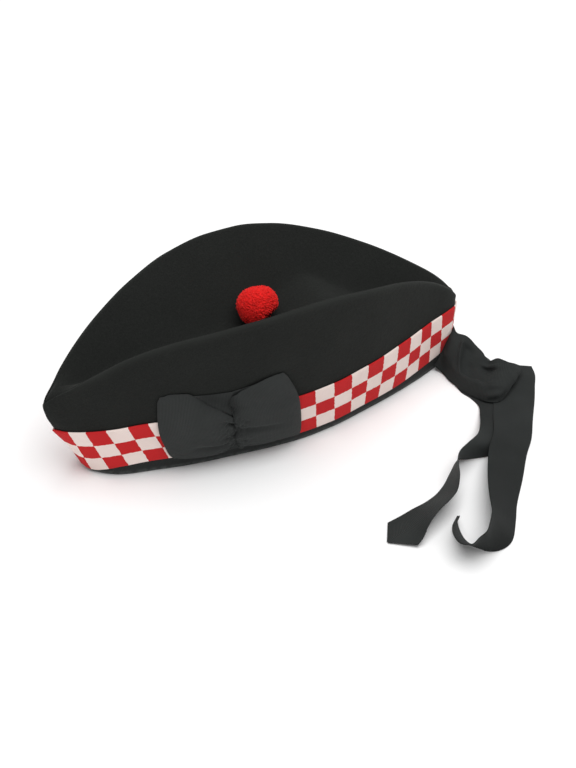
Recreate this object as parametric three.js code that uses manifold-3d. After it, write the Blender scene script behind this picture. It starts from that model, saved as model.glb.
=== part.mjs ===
// A glengarry: a boat-shaped felt cap with a sunken top, a woven diced band, a wool toorie,
// a ribbon bow on its left side and two ribbon tails knotted at the back.
// Millimetres, +Z up, +X towards the back of the cap, -Y the wearer's left.
import * as THREE from 'three';
import { mergeVertices } from 'three/addons/utils/BufferGeometryUtils.js';
import Module from 'manifold-3d';

// Driving sizes
const CLEARANCE = 0.3;
const FELT = 2.2;
const CROWN_FELT = 2.0;
const WALL_SWELL = 3;
const SWELL_FULL_AT = 20;
const NOSE = { swell: 2.8, share: 0.05, fromRise: 0.3 };
const VALLEY_ROUNDING = 0.25;
const BAND_THICKNESS = 1.2;
const BINDING_THICKNESS = 1.0;
const BINDING_INSIDE_HEIGHT = 12;
const RIBBON_THICKNESS = 1.0;

// The middle of the cap's own box, which becomes the origin on the surface it stands on
const CAP_CENTRE = { x: -1.85, y: -2.2 };

// The cap from the front seam (share 0) to the back seam (share 1): its lower edge, the rim, and
// its upper fold, the ridge
const STATIONS = [
  { share: 0, rimX: -130, rimHalf: 0, ridgeX: -150, ridgeHalf: 0, ridgeZ: 60 },
  { share: 0.015, rimX: -128, rimHalf: 5, ridgeX: -147, ridgeHalf: 3.8, ridgeZ: 63.5 },
  { share: 0.04, rimX: -121, rimHalf: 11.2, ridgeX: -139, ridgeHalf: 8.2, ridgeZ: 71.5 },
  { share: 0.09, rimX: -107.5, rimHalf: 18, ridgeX: -122, ridgeHalf: 17.2, ridgeZ: 85.5 },
  { share: 0.16, rimX: -88, rimHalf: 22.8, ridgeX: -100, ridgeHalf: 27, ridgeZ: 98 },
  { share: 0.25, rimX: -62.5, rimHalf: 28.6, ridgeX: -75, ridgeHalf: 37.3, ridgeZ: 107.8 },
  { share: 0.35, rimX: -35, rimHalf: 32.2, ridgeX: -46, ridgeHalf: 46.8, ridgeZ: 114.5 },
  { share: 0.45, rimX: -8, rimHalf: 35.3, ridgeX: -16, ridgeHalf: 50.6, ridgeZ: 117.8 },
  { share: 0.52, rimX: 10.5, rimHalf: 36, ridgeX: 4, ridgeHalf: 50.2, ridgeZ: 118.2 },
  { share: 0.6, rimX: 33, rimHalf: 34.2, ridgeX: 28, ridgeHalf: 47, ridgeZ: 115.6 },
  { share: 0.7, rimX: 60, rimHalf: 28.8, ridgeX: 58, ridgeHalf: 39, ridgeZ: 107.2 },
  { share: 0.8, rimX: 87, rimHalf: 22.2, ridgeX: 88, ridgeHalf: 25.8, ridgeZ: 95 },
  { share: 0.9, rimX: 113, rimHalf: 14.2, ridgeX: 118, ridgeHalf: 12.8, ridgeZ: 77.5 },
  { share: 0.96, rimX: 130, rimHalf: 7.2, ridgeX: 136, ridgeHalf: 7.2, ridgeZ: 62.8 },
  { share: 0.985, rimX: 137, rimHalf: 3.4, ridgeX: 142.4, ridgeHalf: 3.6, ridgeZ: 55 },
  { share: 1, rimX: 140.6, rimHalf: 0, ridgeX: 145, ridgeHalf: 0, ridgeZ: 51.2 },
];
// The sunk middle of the top, and the lower and upper edge of the diced band, at the same shares
const LEVELS = [
  { share: 0, valleyZ: 59, low: 2.6, high: 38.5 },
  { share: 0.015, valleyZ: 61, low: 2.7, high: 38.7 },
  { share: 0.04, valleyZ: 65, low: 4, high: 39.5 },
  { share: 0.09, valleyZ: 70, low: 9, high: 43 },
  { share: 0.16, valleyZ: 72, low: 11.2, high: 45.5 },
  { share: 0.25, valleyZ: 72, low: 11.5, high: 46.5 },
  { share: 0.35, valleyZ: 72.5, low: 10, high: 46.3 },
  { share: 0.45, valleyZ: 74, low: 8.8, high: 46 },
  { share: 0.52, valleyZ: 77, low: 8, high: 45.2 },
  { share: 0.6, valleyZ: 89, low: 7.6, high: 45 },
  { share: 0.7, valleyZ: 80, low: 8.2, high: 46.8 },
  { share: 0.8, valleyZ: 72, low: 8.6, high: 47.2 },
  { share: 0.9, valleyZ: 63, low: 11, high: 47 },
  { share: 0.96, valleyZ: 55.5, low: 12, high: 46.5 },
  { share: 0.985, valleyZ: 52, low: 12, high: 45.5 },
  { share: 1, valleyZ: 50.2, low: 12, high: 45 },
];
const LONG_INTERVAL = 0.05;
const SPLITS_OF_LONG_INTERVAL = 2;
const WALL_RISES = [0.1, 0.22, 0.36, 0.5, 0.65, 0.8, 0.91, 1];
const CROWN_STEPS = 12;
const BAND_ROWS = 3;

// The toorie: a wool ball of blunt locks on a round head
const TOORIE = { x: -2.5, z: 91, radius: 13.4, head: 11.4 };
const TOORIE_LOCKS = { count: 40, root: 4.4, tip: 2.7, sides: 6 };

// The bow, measured along the wall as shares and up it as heights. Its back layer lies on the
// band, its two front layers bulge and are gathered at the middle.
const BOW = { middle: 0.356, backLift: 2.3, backTop: 62, backLow: 10, thickness: 0.9, steps: 5 };
const BOW_WINGS = {
  left: {
    folds: [
      { z: 8, share: 0.208 },
      { z: 22, share: 0.196 },
      { z: 40, share: 0.188 },
      { z: 70, share: 0.199 },
    ],
    rows: [
      { out: 0, top: 43, low: 17, lift: 3.9 },
      { out: 0.12, top: 46, low: 13, lift: 5.4 },
      { out: 0.28, top: 54, low: 10, lift: 7 },
      { out: 0.45, top: 65, low: 8.8, lift: 7.6 },
      { out: 0.65, top: 69, low: 8.6, lift: 7.4 },
      { out: 0.85, top: 69.5, low: 9.5, lift: 6.4 },
      { out: 0.97, top: 68, low: 12, lift: 4.6 },
    ],
  },
  right: {
    folds: [
      { z: 8, share: 0.506 },
      { z: 31, share: 0.509 },
      { z: 46, share: 0.505 },
      { z: 73, share: 0.471 },
    ],
    rows: [
      { out: 0, top: 43, low: 17, lift: 3.9 },
      { out: 0.07, top: 57, low: 13, lift: 5.2 },
      { out: 0.25, top: 66, low: 10.6, lift: 7 },
      { out: 0.45, top: 69.5, low: 10, lift: 7.6 },
      { out: 0.65, top: 71.5, low: 9.8, lift: 7.4 },
      { out: 0.85, top: 72, low: 10, lift: 6.4 },
      { out: 0.97, top: 71, low: 11, lift: 4.6 },
    ],
  },
};

// The knot behind the cap: the ribbon's two ends, bunched, from the back of the left wall outwards
const KNOT_SEAT = { share: 0.962, shareReach: 0.028, z: 17, zReach: 13, lift: 2.3 };
const KNOT_ROWS = [
  { x: 136, y: -20, z: 15.4, deep: 17, tall: 12.2 },
  { x: 138.6, y: -35, z: 13, deep: 17.8, tall: 9.8 },
  { x: 146, y: -47.5, z: 11.8, deep: 14.8, tall: 8 },
  { x: 158, y: -48.5, z: 11.4, deep: 13, tall: 7.7 },
  { x: 168, y: -47.5, z: 9.8, deep: 9, tall: 6 },
  { x: 176, y: -46, z: 7.4, deep: 4, tall: 3.4 },
];
const KNOT_SIDES = 20;
const KNOT_RINGS_PER_ROW = 3;
const KNOT_FOLDS = 5;
const KNOT_FOLD_DEPTH = 0.07;

// The tails, row by row: the edge of the ribbon that rests low, and its free edge.
// point is how far the middle of the end reaches beyond its two corners.
const TAIL_LONG = {
  point: 0,
  rows: [
    { restX: 187, restY: -38, restZ: 2.2, freeX: 163.5, freeY: -25, freeZ: 2.2 },
    { restX: 184.5, restY: -46.5, restZ: 2.2, freeX: 160.5, freeY: -33, freeZ: 2.2 },
    { restX: 178, restY: -56.8, restZ: 2.2, freeX: 155, freeY: -41.5, freeZ: 2.2 },
    { restX: 170.5, restY: -68.5, restZ: 2, freeX: 147.5, freeY: -53, freeZ: 2.2 },
    { restX: 158.5, restY: -85.5, restZ: 1.4, freeX: 135.5, freeY: -71.5, freeZ: 6.5 },
    { restX: 147, restY: -102, restZ: 0.7, freeX: 123, freeY: -92, freeZ: 12 },
    { restX: 136, restY: -114, restZ: 0.7, freeX: 111.5, freeY: -105.5, freeZ: 11.5 },
    { restX: 121.2, restY: -132.9, restZ: 0.7, freeX: 98.3, freeY: -125.4, freeZ: 15.2 },
    { restX: 106.3, restY: -151.1, restZ: 0.7, freeX: 87.4, freeY: -144.3, freeZ: 20.2 },
    { restX: 98.8, restY: -162.3, restZ: 0.7, freeX: 81.2, freeY: -157, freeZ: 21.8 },
    { restX: 87.8, restY: -176.4, restZ: 0.7, freeX: 76.3, freeY: -167.1, freeZ: 24.2 },
    { restX: 81.2, restY: -180, restZ: 0.7, freeX: 71.8, freeY: -173.6, freeZ: 26.2 },
    { restX: 73.8, restY: -180.3, restZ: 0.7, freeX: 66.5, freeY: -180.2, freeZ: 27.7 },
    { restX: 68.3, restY: -177.7, restZ: 0.7, freeX: 61.8, freeY: -184.7, freeZ: 27 },
    { restX: 64.7, restY: -173.1, restZ: 0.7, freeX: 56.8, freeY: -185.3, freeZ: 24.7 },
    { restX: 61.6, restY: -168.8, restZ: 0.7, freeX: 51.7, freeY: -185.3, freeZ: 21.1 },
    { restX: 57.4, restY: -165, restZ: 0.7, freeX: 49.6, freeY: -181.6, freeZ: 21.9 },
    { restX: 57.1, restY: -158.2, restZ: 0.7, freeX: 50.1, freeY: -174.8, freeZ: 22.2 },
    { restX: 59.9, restY: -150.9, restZ: 0.7, freeX: 52.6, freeY: -166.9, freeZ: 22.5 },
    { restX: 67.5, restY: -143.8, restZ: 0.7, freeX: 57.4, freeY: -161.1, freeZ: 20.4 },
  ],
};
const TAIL_SHORT = {
  point: 12.6,
  rows: [
    { restX: 157, restY: -34, restZ: 0.7, freeX: 129, freeY: -31, freeZ: 0.7 },
    { restX: 157.5, restY: -45, restZ: 0.7, freeX: 129, freeY: -41, freeZ: 0.7 },
    { restX: 158.5, restY: -57, restZ: 0.7, freeX: 131.5, freeY: -48.7, freeZ: 0.7 },
    { restX: 156, restY: -72, restZ: 0.7, freeX: 132.2, freeY: -58, freeZ: 1.2 },
    { restX: 148, restY: -88, restZ: 0.7, freeX: 126.2, freeY: -70, freeZ: 4 },
    { restX: 137, restY: -101.5, restZ: 0.7, freeX: 117.2, freeY: -84.2, freeZ: 10 },
    { restX: 120, restY: -104.5, restZ: 0.7, freeX: 106, freeY: -98.7, freeZ: 18 },
    { restX: 108, restY: -102.6, restZ: 0.7, freeX: 94.4, freeY: -106.6, freeZ: 22 },
    { restX: 99, restY: -100.4, restZ: 0.7, freeX: 86.4, freeY: -110.6, freeZ: 21.5 },
    { restX: 93.7, restY: -98.6, restZ: 0.7, freeX: 82.3, freeY: -115, freeZ: 20.2 },
    { restX: 82.4, restY: -107.6, restZ: 0.7, freeX: 76.5, freeY: -128.2, freeZ: 18.8 },
    { restX: 73.4, restY: -115.7, restZ: 0.7, freeX: 69.6, freeY: -138, freeZ: 17.2 },
    { restX: 64.4, restY: -121.5, restZ: 0.7, freeX: 62, freeY: -143.7, freeZ: 17.6 },
    { restX: 54.6, restY: -124.9, restZ: 0.7, freeX: 51.2, freeY: -148.2, freeZ: 15.8 },
    { restX: 45.2, restY: -126.4, restZ: 0.7, freeX: 42.2, freeY: -152.2, freeZ: 11.2 },
    { restX: 34.9, restY: -128.4, restZ: 0.7, freeX: 36.4, freeY: -155.9, freeZ: 5.8 },
    { restX: 25.6, restY: -129.8, restZ: 0.7, freeX: 32.5, freeY: -156.9, freeZ: 2.4 },
  ],
};
const TAIL_STEPS_PER_POINT = 2;
const TAIL_STEPS_ACROSS = 2;

// Colours
const COLOURS = { felt: 0x1d1e1d, ribbon: 0x2b2d2c, band: 0xc92a2e, toorie: 0xd0242a };

// Smooth interpolation that never overshoots its rows
function smoothColumn(rows, key, column) {
  const t = rows.map((row) => row[key]);
  const value = rows.map((row) => row[column]);
  const last = rows.length - 1;
  const span = t.slice(1).map((next, k) => next - t[k]);
  const slope = span.map((width, k) => (value[k + 1] - value[k]) / width);
  const tangent = value.map((_, k) => {
    if (k === 0) return slope[0];
    if (k === last) return slope[last - 1];
    if (slope[k - 1] * slope[k] <= 0) return 0;
    const before = 2 * span[k] + span[k - 1];
    const after = span[k] + 2 * span[k - 1];
    return (before + after) / (before / slope[k - 1] + after / slope[k]);
  });
  return (at) => {
    const wanted = Math.min(Math.max(at, t[0]), t[last]);
    let k = 0;
    while (k < last - 1 && wanted > t[k + 1]) k += 1;
    const s = (wanted - t[k]) / span[k];
    const back = 1 - s;
    return (
      value[k] * (1 + 2 * s) * back * back +
      value[k + 1] * s * s * (3 - 2 * s) +
      span[k] * s * back * (tangent[k] * back - tangent[k + 1] * s)
    );
  };
}

const cap = {};
for (const table of [STATIONS, LEVELS]) {
  for (const column of Object.keys(table[0]).slice(1)) cap[column] = smoothColumn(table, 'share', column);
}

// The shares at which every piece of the cap is cut into facets, so that neighbours match
function facetShares() {
  const shares = [0];
  for (let k = 1; k < STATIONS.length; k += 1) {
    const from = STATIONS[k - 1].share;
    const width = STATIONS[k].share - from;
    const parts = width >= LONG_INTERVAL ? SPLITS_OF_LONG_INTERVAL : 1;
    for (let part = 1; part <= parts; part += 1) shares.push(from + (width * part) / parts);
  }
  return shares;
}
const SHARES = facetShares();

// The outer face of the left side panel, from the rim (rise 0) to the ridge (rise 1)
function wallPoint(share, rise) {
  const half = THREE.MathUtils.lerp(cap.rimHalf(share), cap.ridgeHalf(share), rise);
  const swell = WALL_SWELL * 4 * rise * (1 - rise) * Math.min(1, half / SWELL_FULL_AT);
  const up = Math.max(0, (rise - NOSE.fromRise) / (1 - NOSE.fromRise));
  const nose = NOSE.swell * 6.75 * up * up * (1 - up) * Math.max(0, 1 - share / NOSE.share) ** 2;
  const x = THREE.MathUtils.lerp(cap.rimX(share), cap.ridgeX(share), rise);
  return new THREE.Vector3(x - nose, -half - swell, cap.ridgeZ(share) * rise);
}

function wallNormal(share, rise) {
  const step = 0.002;
  const ahead = wallPoint(Math.min(1, share + step), rise);
  const behind = wallPoint(Math.max(0, share - step), rise);
  const along = ahead.sub(behind);
  const up = wallPoint(share, Math.min(1, rise + step)).sub(wallPoint(share, Math.max(0, rise - step)));
  return along.cross(up).normalize();
}

// A point off the left wall, outwards where distance is above 0. On the two seams it is mitred.
function offWall(share, rise, distance) {
  const normal = wallNormal(share, rise);
  if (share > 0 && share < 1) return wallPoint(share, rise).addScaledVector(normal, distance);
  const middle = new THREE.Vector3(normal.x, 0, normal.z).normalize();
  return wallPoint(share, rise).addScaledVector(middle, distance / normal.dot(middle));
}

const atHeight = (share, z, distance) => offWall(share, z / cap.ridgeZ(share), distance);
const mirrored = (point) => new THREE.Vector3(point.x, -point.y, point.z);

// Closed solids from rows of points

function signedVolume(points, faces) {
  let volume = 0;
  for (const [a, b, c] of faces) {
    volume += points[a].dot(new THREE.Vector3().crossVectors(points[b], points[c]));
  }
  return volume / 6;
}

function geometryFrom(points, faces) {
  const outward = signedVolume(points, faces) > 0;
  const geometry = new THREE.BufferGeometry();
  const position = points.flatMap((p) => [p.x, p.y, p.z]);
  geometry.setAttribute('position', new THREE.Float32BufferAttribute(position, 3));
  geometry.setIndex(faces.flatMap(([a, b, c]) => (outward ? [a, b, c] : [a, c, b])));
  geometry.computeVertexNormals();
  return geometry;
}

function quad(faces, a, b, c, d) {
  faces.push([a, b, c], [a, c, d]);
}

// A sheet with thickness: front and back are grids of the same size, and ring joins the last row
// of the grid to its first
function sheetGeometry(front, back, ring) {
  const rows = front.length;
  const columns = front[0].length;
  const points = [...front.flat(), ...back.flat()];
  const f = (i, j) => (i % rows) * columns + j;
  const b = (i, j) => rows * columns + f(i, j);
  const faces = [];
  const spans = ring ? rows : rows - 1;
  for (let i = 0; i < spans; i += 1) {
    for (let j = 0; j < columns - 1; j += 1) {
      quad(faces, f(i, j), f(i + 1, j), f(i + 1, j + 1), f(i, j + 1));
      quad(faces, b(i, j), b(i, j + 1), b(i + 1, j + 1), b(i + 1, j));
    }
    quad(faces, f(i, 0), b(i, 0), b(i + 1, 0), f(i + 1, 0));
    const edge = columns - 1;
    quad(faces, f(i, edge), f(i + 1, edge), b(i + 1, edge), b(i, edge));
  }
  if (!ring) {
    const end = rows - 1;
    for (let j = 0; j < columns - 1; j += 1) {
      quad(faces, f(0, j), f(0, j + 1), b(0, j + 1), b(0, j));
      quad(faces, f(end, j), b(end, j), b(end, j + 1), f(end, j + 1));
    }
  }
  return geometryFrom(points, faces);
}

// Rings of points, one after another, closed by a fan at each end or joined into a loop
function ringsGeometry(rings, loop) {
  const sides = rings[0].length;
  const points = rings.flat();
  const at = (i, j) => (i % rings.length) * sides + (j % sides);
  const faces = [];
  const spans = loop ? rings.length : rings.length - 1;
  for (let i = 0; i < spans; i += 1) {
    for (let j = 0; j < sides; j += 1) quad(faces, at(i, j), at(i + 1, j), at(i + 1, j + 1), at(i, j + 1));
  }
  if (!loop) {
    for (const end of [0, rings.length - 1]) {
      const centre = points.length;
      const sum = rings[end].reduce((total, p) => total.add(p), new THREE.Vector3());
      points.push(sum.divideScalar(sides));
      for (let j = 0; j < sides; j += 1) {
        const pair = [at(end, j), at(end, j + 1)];
        faces.push(end === 0 ? [centre, pair[0], pair[1]] : [centre, pair[1], pair[0]]);
      }
    }
  }
  return geometryFrom(points, faces);
}

// Round the whole cap: along the left wall from front to back, then along the right wall
function roundTheCap(sectionAt) {
  const left = SHARES.map((share) => sectionAt(share));
  const right = left.slice(1, -1).reverse();
  return [...left, ...right.map((section) => section.map(mirrored))];
}

function sidePanel() {
  const foot = BINDING_THICKNESS + CLEARANCE;
  const faceAt = (distance) =>
    SHARES.map((share) => {
      const rises = [foot / cap.ridgeZ(share), ...WALL_RISES];
      return rises.map((rise) => {
        const point = offWall(share, rise, distance);
        point.y = Math.min(point.y, -CLEARANCE / 2);
        return point;
      });
    });
  return sheetGeometry(faceAt(0), faceAt(-FELT), false);
}

// How far the top panel has risen from its valley to its edge, for a share of the half width
function valleyRise(share) {
  const rounded = (t) => Math.hypot(t, VALLEY_ROUNDING) - VALLEY_ROUNDING;
  return rounded(share) / rounded(1);
}

function crownTop() {
  const inset = FELT + CLEARANCE;
  const faceAt = (sink) =>
    SHARES.slice(1, -1).map((share) => {
      const edge = atHeight(share, cap.ridgeZ(share) - sink, -inset);
      const valley = Math.min(cap.valleyZ(share) - sink, edge.z);
      const row = [];
      for (let step = 0; step <= CROWN_STEPS; step += 1) {
        const across = (2 * step) / CROWN_STEPS - 1;
        const z = THREE.MathUtils.lerp(valley, edge.z, valleyRise(Math.abs(across)));
        row.push(new THREE.Vector3(edge.x, across * Math.abs(edge.y), z));
      }
      return row;
    });
  return sheetGeometry(faceAt(0), faceAt(CROWN_FELT * Math.SQRT2), false);
}

function dicedBand() {
  const faceAt = (distance) =>
    roundTheCap((share) => {
      const column = [];
      for (let row = 0; row <= BAND_ROWS; row += 1) {
        const z = THREE.MathUtils.lerp(cap.low(share), cap.high(share), row / BAND_ROWS);
        column.push(atHeight(share, z, distance));
      }
      return column;
    });
  return sheetGeometry(faceAt(CLEARANCE + BAND_THICKNESS), faceAt(CLEARANCE), true);
}

function edgeBinding() {
  const outside = CLEARANCE + BINDING_THICKNESS;
  const inside = -(FELT + CLEARANCE + BINDING_THICKNESS);
  const sections = roundTheCap((share) => {
    const lip = cap.low(share) - CLEARANCE;
    const level = (distance, z) => atHeight(share, z, distance).setZ(z);
    return [
      atHeight(share, lip, outside),
      level(outside, 0),
      level(inside, 0),
      level(inside, BINDING_INSIDE_HEIGHT),
      level(inside + BINDING_THICKNESS, BINDING_INSIDE_HEIGHT),
      level(inside + BINDING_THICKNESS, BINDING_THICKNESS),
      level(CLEARANCE, BINDING_THICKNESS),
      atHeight(share, lip, CLEARANCE),
    ];
  });
  return ringsGeometry(sections, true);
}

// Solids that are joined to one another

const wasm = await Module();
wasm.setup();

function solidFrom(geometry) {
  const bare = geometry.clone();
  bare.deleteAttribute('normal');
  bare.deleteAttribute('uv');
  const merged = mergeVertices(bare);
  const mesh = new wasm.Mesh({
    numProp: 3,
    vertProperties: new Float32Array(merged.attributes.position.array),
    triVerts: new Uint32Array(merged.index.array),
  });
  return new wasm.Manifold(mesh);
}

function geometryOf(solid) {
  const mesh = solid.getMesh();
  const geometry = new THREE.BufferGeometry();
  geometry.setAttribute('position', new THREE.Float32BufferAttribute(mesh.vertProperties, 3));
  geometry.setIndex(Array.from(mesh.triVerts));
  geometry.computeVertexNormals();
  return geometry;
}

// Directions spread evenly over a ball
function evenDirection(k, count) {
  const golden = Math.PI * (3 - Math.sqrt(5));
  const z = 1 - (2 * k + 1) / count;
  const round = Math.sqrt(1 - z * z);
  return new THREE.Vector3(round * Math.cos(golden * k), round * Math.sin(golden * k), z);
}

function toorieBall() {
  let ball = solidFrom(new THREE.IcosahedronGeometry(TOORIE.head, 2));
  const up = new THREE.Vector3(0, 1, 0);
  const { count, root, tip, sides } = TOORIE_LOCKS;
  const length = TOORIE.radius * 0.5;
  for (let k = 0; k < count; k += 1) {
    const direction = evenDirection(k, count);
    const lock = new THREE.CylinderGeometry(tip, root, length, sides);
    lock.rotateY(k);
    lock.translate(0, TOORIE.radius - length / 2, 0);
    lock.applyQuaternion(new THREE.Quaternion().setFromUnitVectors(up, direction));
    ball = ball.add(solidFrom(lock));
  }
  return geometryOf(ball);
}

// One wing of the bow: a point from the middle (out 0) to the outer fold (out 1)
function bowPoint(wing, out, z, lift) {
  const fold = smoothColumn(wing.folds, 'z', 'share')(z);
  return atHeight(THREE.MathUtils.lerp(BOW.middle, fold, out), z, lift);
}

// Half of the bow's ribbon, out along a wing's front, round its fold and back behind it
function wingRows(wing) {
  const rows = wing.rows.map((row) => ({ ...row }));
  const end = rows[rows.length - 1];
  rows.push({ ...end, out: 1, lift: (end.lift + BOW.backLift) / 2 });
  rows.push({ ...end, lift: BOW.backLift });
  for (const out of [0.75, 0.5, 0.25]) {
    const top = THREE.MathUtils.lerp(BOW.backTop, end.top, out);
    const low = THREE.MathUtils.lerp(BOW.backLow, end.low, out);
    rows.push({ out, top, low, lift: BOW.backLift });
  }
  return rows.map((row) => {
    const line = [];
    for (let step = 0; step <= BOW.steps; step += 1) {
      line.push(bowPoint(wing, row.out, THREE.MathUtils.lerp(row.low, row.top, step / BOW.steps), row.lift));
    }
    return line;
  });
}

// A sheet on both sides of a grid of points, whose rows may form a ring
function thickenSheet(grid, thickness, ring) {
  const count = grid.length;
  const steps = grid[0].length - 1;
  const next = (i) => (ring ? (i + 1) % count : Math.min(count - 1, i + 1));
  const previous = (i) => (ring ? (i + count - 1) % count : Math.max(0, i - 1));
  const shifted = (amount) =>
    grid.map((row, i) =>
      row.map((point, j) => {
        const along = grid[next(i)][j].clone().sub(grid[previous(i)][j]);
        const up = row[Math.min(steps, j + 1)].clone().sub(row[Math.max(0, j - 1)]);
        return point.clone().addScaledVector(along.cross(up).normalize(), amount);
      }),
    );
  return sheetGeometry(shifted(thickness / 2), shifted(-thickness / 2), ring);
}

function cockadeBow() {
  const middle = [];
  for (let step = 0; step <= BOW.steps; step += 1) {
    const z = THREE.MathUtils.lerp(BOW.backLow, BOW.backTop, step / BOW.steps);
    middle.push(atHeight(BOW.middle, z, BOW.backLift));
  }
  const right = wingRows(BOW_WINGS.right);
  const left = wingRows(BOW_WINGS.left).slice(1).reverse();
  return thickenSheet([...right, middle, ...left], BOW.thickness, true);
}

// The knot's first ring lies on the cap's back, and the others follow the rows
function ribbonKnot() {
  const angleAt = (j) => (2 * Math.PI * j) / KNOT_SIDES;
  const rings = [[]];
  for (let j = 0; j < KNOT_SIDES; j += 1) {
    const share = KNOT_SEAT.share + KNOT_SEAT.shareReach * Math.cos(angleAt(j));
    rings[0].push(atHeight(share, KNOT_SEAT.z + KNOT_SEAT.zReach * Math.sin(angleAt(j)), KNOT_SEAT.lift));
  }
  const along = (column) => smoothColumn(KNOT_ROWS.map((row, k) => ({ ...row, k })), 'k', column);
  const column = Object.fromEntries(['x', 'y', 'z', 'deep', 'tall'].map((name) => [name, along(name)]));
  const count = (KNOT_ROWS.length - 1) * KNOT_RINGS_PER_ROW;
  for (let i = 0; i <= count; i += 1) {
    const k = i / KNOT_RINGS_PER_ROW;
    const heading = new THREE.Vector3(
      column.x(k + 0.1) - column.x(k - 0.1), column.y(k + 0.1) - column.y(k - 0.1), 0).normalize();
    const ring = [];
    for (let j = 0; j < KNOT_SIDES; j += 1) {
      const fold = 1 + KNOT_FOLD_DEPTH * Math.sin(KNOT_FOLDS * angleAt(j) + k);
      const across = column.deep(k) * Math.cos(angleAt(j)) * fold;
      const rise = column.tall(k) * Math.sin(angleAt(j)) * fold;
      ring.push(new THREE.Vector3(
        column.x(k) - heading.y * across, column.y(k) + heading.x * across, column.z(k) + rise));
    }
    rings.push(ring);
  }
  return ringsGeometry(rings, false);
}

// A ribbon between its resting edge and its free edge, with a square or pointed end
function tailRibbon(tail) {
  const curve = (side) => {
    const points = tail.rows.map((row) => new THREE.Vector3(row[`${side}X`], row[`${side}Y`], row[`${side}Z`]));
    return new THREE.CatmullRomCurve3(points, false, 'centripetal');
  };
  const rest = curve('rest');
  const free = curve('free');
  const count = (tail.rows.length - 1) * TAIL_STEPS_PER_POINT;
  const grid = [];
  for (let i = 0; i <= count; i += 1) {
    const from = rest.getPoint(i / count);
    const to = free.getPoint(i / count);
    const heading = rest.getTangent(i / count).add(free.getTangent(i / count)).setZ(0).normalize();
    const row = [];
    for (let j = 0; j <= TAIL_STEPS_ACROSS; j += 1) {
      const share = j / TAIL_STEPS_ACROSS;
      const beyond = i === count ? tail.point * (1 - Math.abs(2 * share - 1)) : 0;
      row.push(from.clone().lerp(to, share).addScaledVector(heading, beyond));
    }
    grid.push(row);
  }
  return thickenSheet(grid, RIBBON_THICKNESS, false);
}

// The assembly

const glengarry = new THREE.Group();

function addPart(name, geometry, colour, roughness) {
  const material = new THREE.MeshStandardMaterial({ color: colour, roughness, metalness: 0 });
  const mesh = new THREE.Mesh(geometry, material);
  mesh.name = name;
  glengarry.add(mesh);
  return mesh;
}

function mirroredGeometry(geometry) {
  const copy = geometry.clone().scale(1, -1, 1);
  const index = Array.from(copy.index.array);
  for (let k = 0; k < index.length; k += 3) [index[k + 1], index[k + 2]] = [index[k + 2], index[k + 1]];
  copy.setIndex(index);
  return copy;
}

const leftPanel = sidePanel();
addPart('side_left', leftPanel, COLOURS.felt, 0.95);
addPart('side_right', mirroredGeometry(leftPanel), COLOURS.felt, 0.95);
addPart('crown_top', crownTop(), COLOURS.felt, 0.95);
addPart('diced_band', dicedBand(), COLOURS.band, 0.85);
addPart('edge_binding', edgeBinding(), COLOURS.ribbon, 0.7);
addPart('toorie', toorieBall(), COLOURS.toorie, 0.95).position.set(TOORIE.x, 0, TOORIE.z);
addPart('cockade_bow', cockadeBow(), COLOURS.ribbon, 0.6);
addPart('ribbon_knot', ribbonKnot(), COLOURS.ribbon, 0.6);
addPart('tail_long', tailRibbon(TAIL_LONG), COLOURS.ribbon, 0.6);
addPart('tail_short', tailRibbon(TAIL_SHORT), COLOURS.ribbon, 0.6);
glengarry.position.set(-CAP_CENTRE.x, -CAP_CENTRE.y, 0);

export default glengarry;
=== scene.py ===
"""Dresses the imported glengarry: felt cap, diced band, ribbon binding, bow, knot, tails and toorie."""

import math

import bpy
import numpy as np
from bpy.props import FloatProperty, FloatVectorProperty, IntProperty, PointerProperty
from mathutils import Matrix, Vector, kdtree, noise


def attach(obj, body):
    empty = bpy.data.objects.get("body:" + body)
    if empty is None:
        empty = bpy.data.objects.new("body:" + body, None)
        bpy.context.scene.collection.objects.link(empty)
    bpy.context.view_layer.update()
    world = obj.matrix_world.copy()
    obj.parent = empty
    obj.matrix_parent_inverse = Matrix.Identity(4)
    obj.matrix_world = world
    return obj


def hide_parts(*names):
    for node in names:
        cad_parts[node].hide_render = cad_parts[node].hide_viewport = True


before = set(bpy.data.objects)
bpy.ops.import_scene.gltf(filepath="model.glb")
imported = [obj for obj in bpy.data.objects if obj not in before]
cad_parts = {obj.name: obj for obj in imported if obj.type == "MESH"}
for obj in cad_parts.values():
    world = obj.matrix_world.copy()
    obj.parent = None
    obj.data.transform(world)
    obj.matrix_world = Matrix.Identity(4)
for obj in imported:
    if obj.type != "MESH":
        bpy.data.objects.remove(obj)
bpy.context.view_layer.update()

bl_info = {
    "name": "Glengarry",
    "version": (1, 0, 0),
    "blender": (4, 5, 0),
    "location": "View3D > Sidebar > Glengarry",
    "description": "Builds a felt glengarry with a diced band, a bow, ribbon tails and a toorie",
    "category": "Object",
}

MM = 0.001

# From the cap's own drawing to the shared frame, in millimetres
SHIFT = np.array([1.85, 2.2, 0.0])

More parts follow.
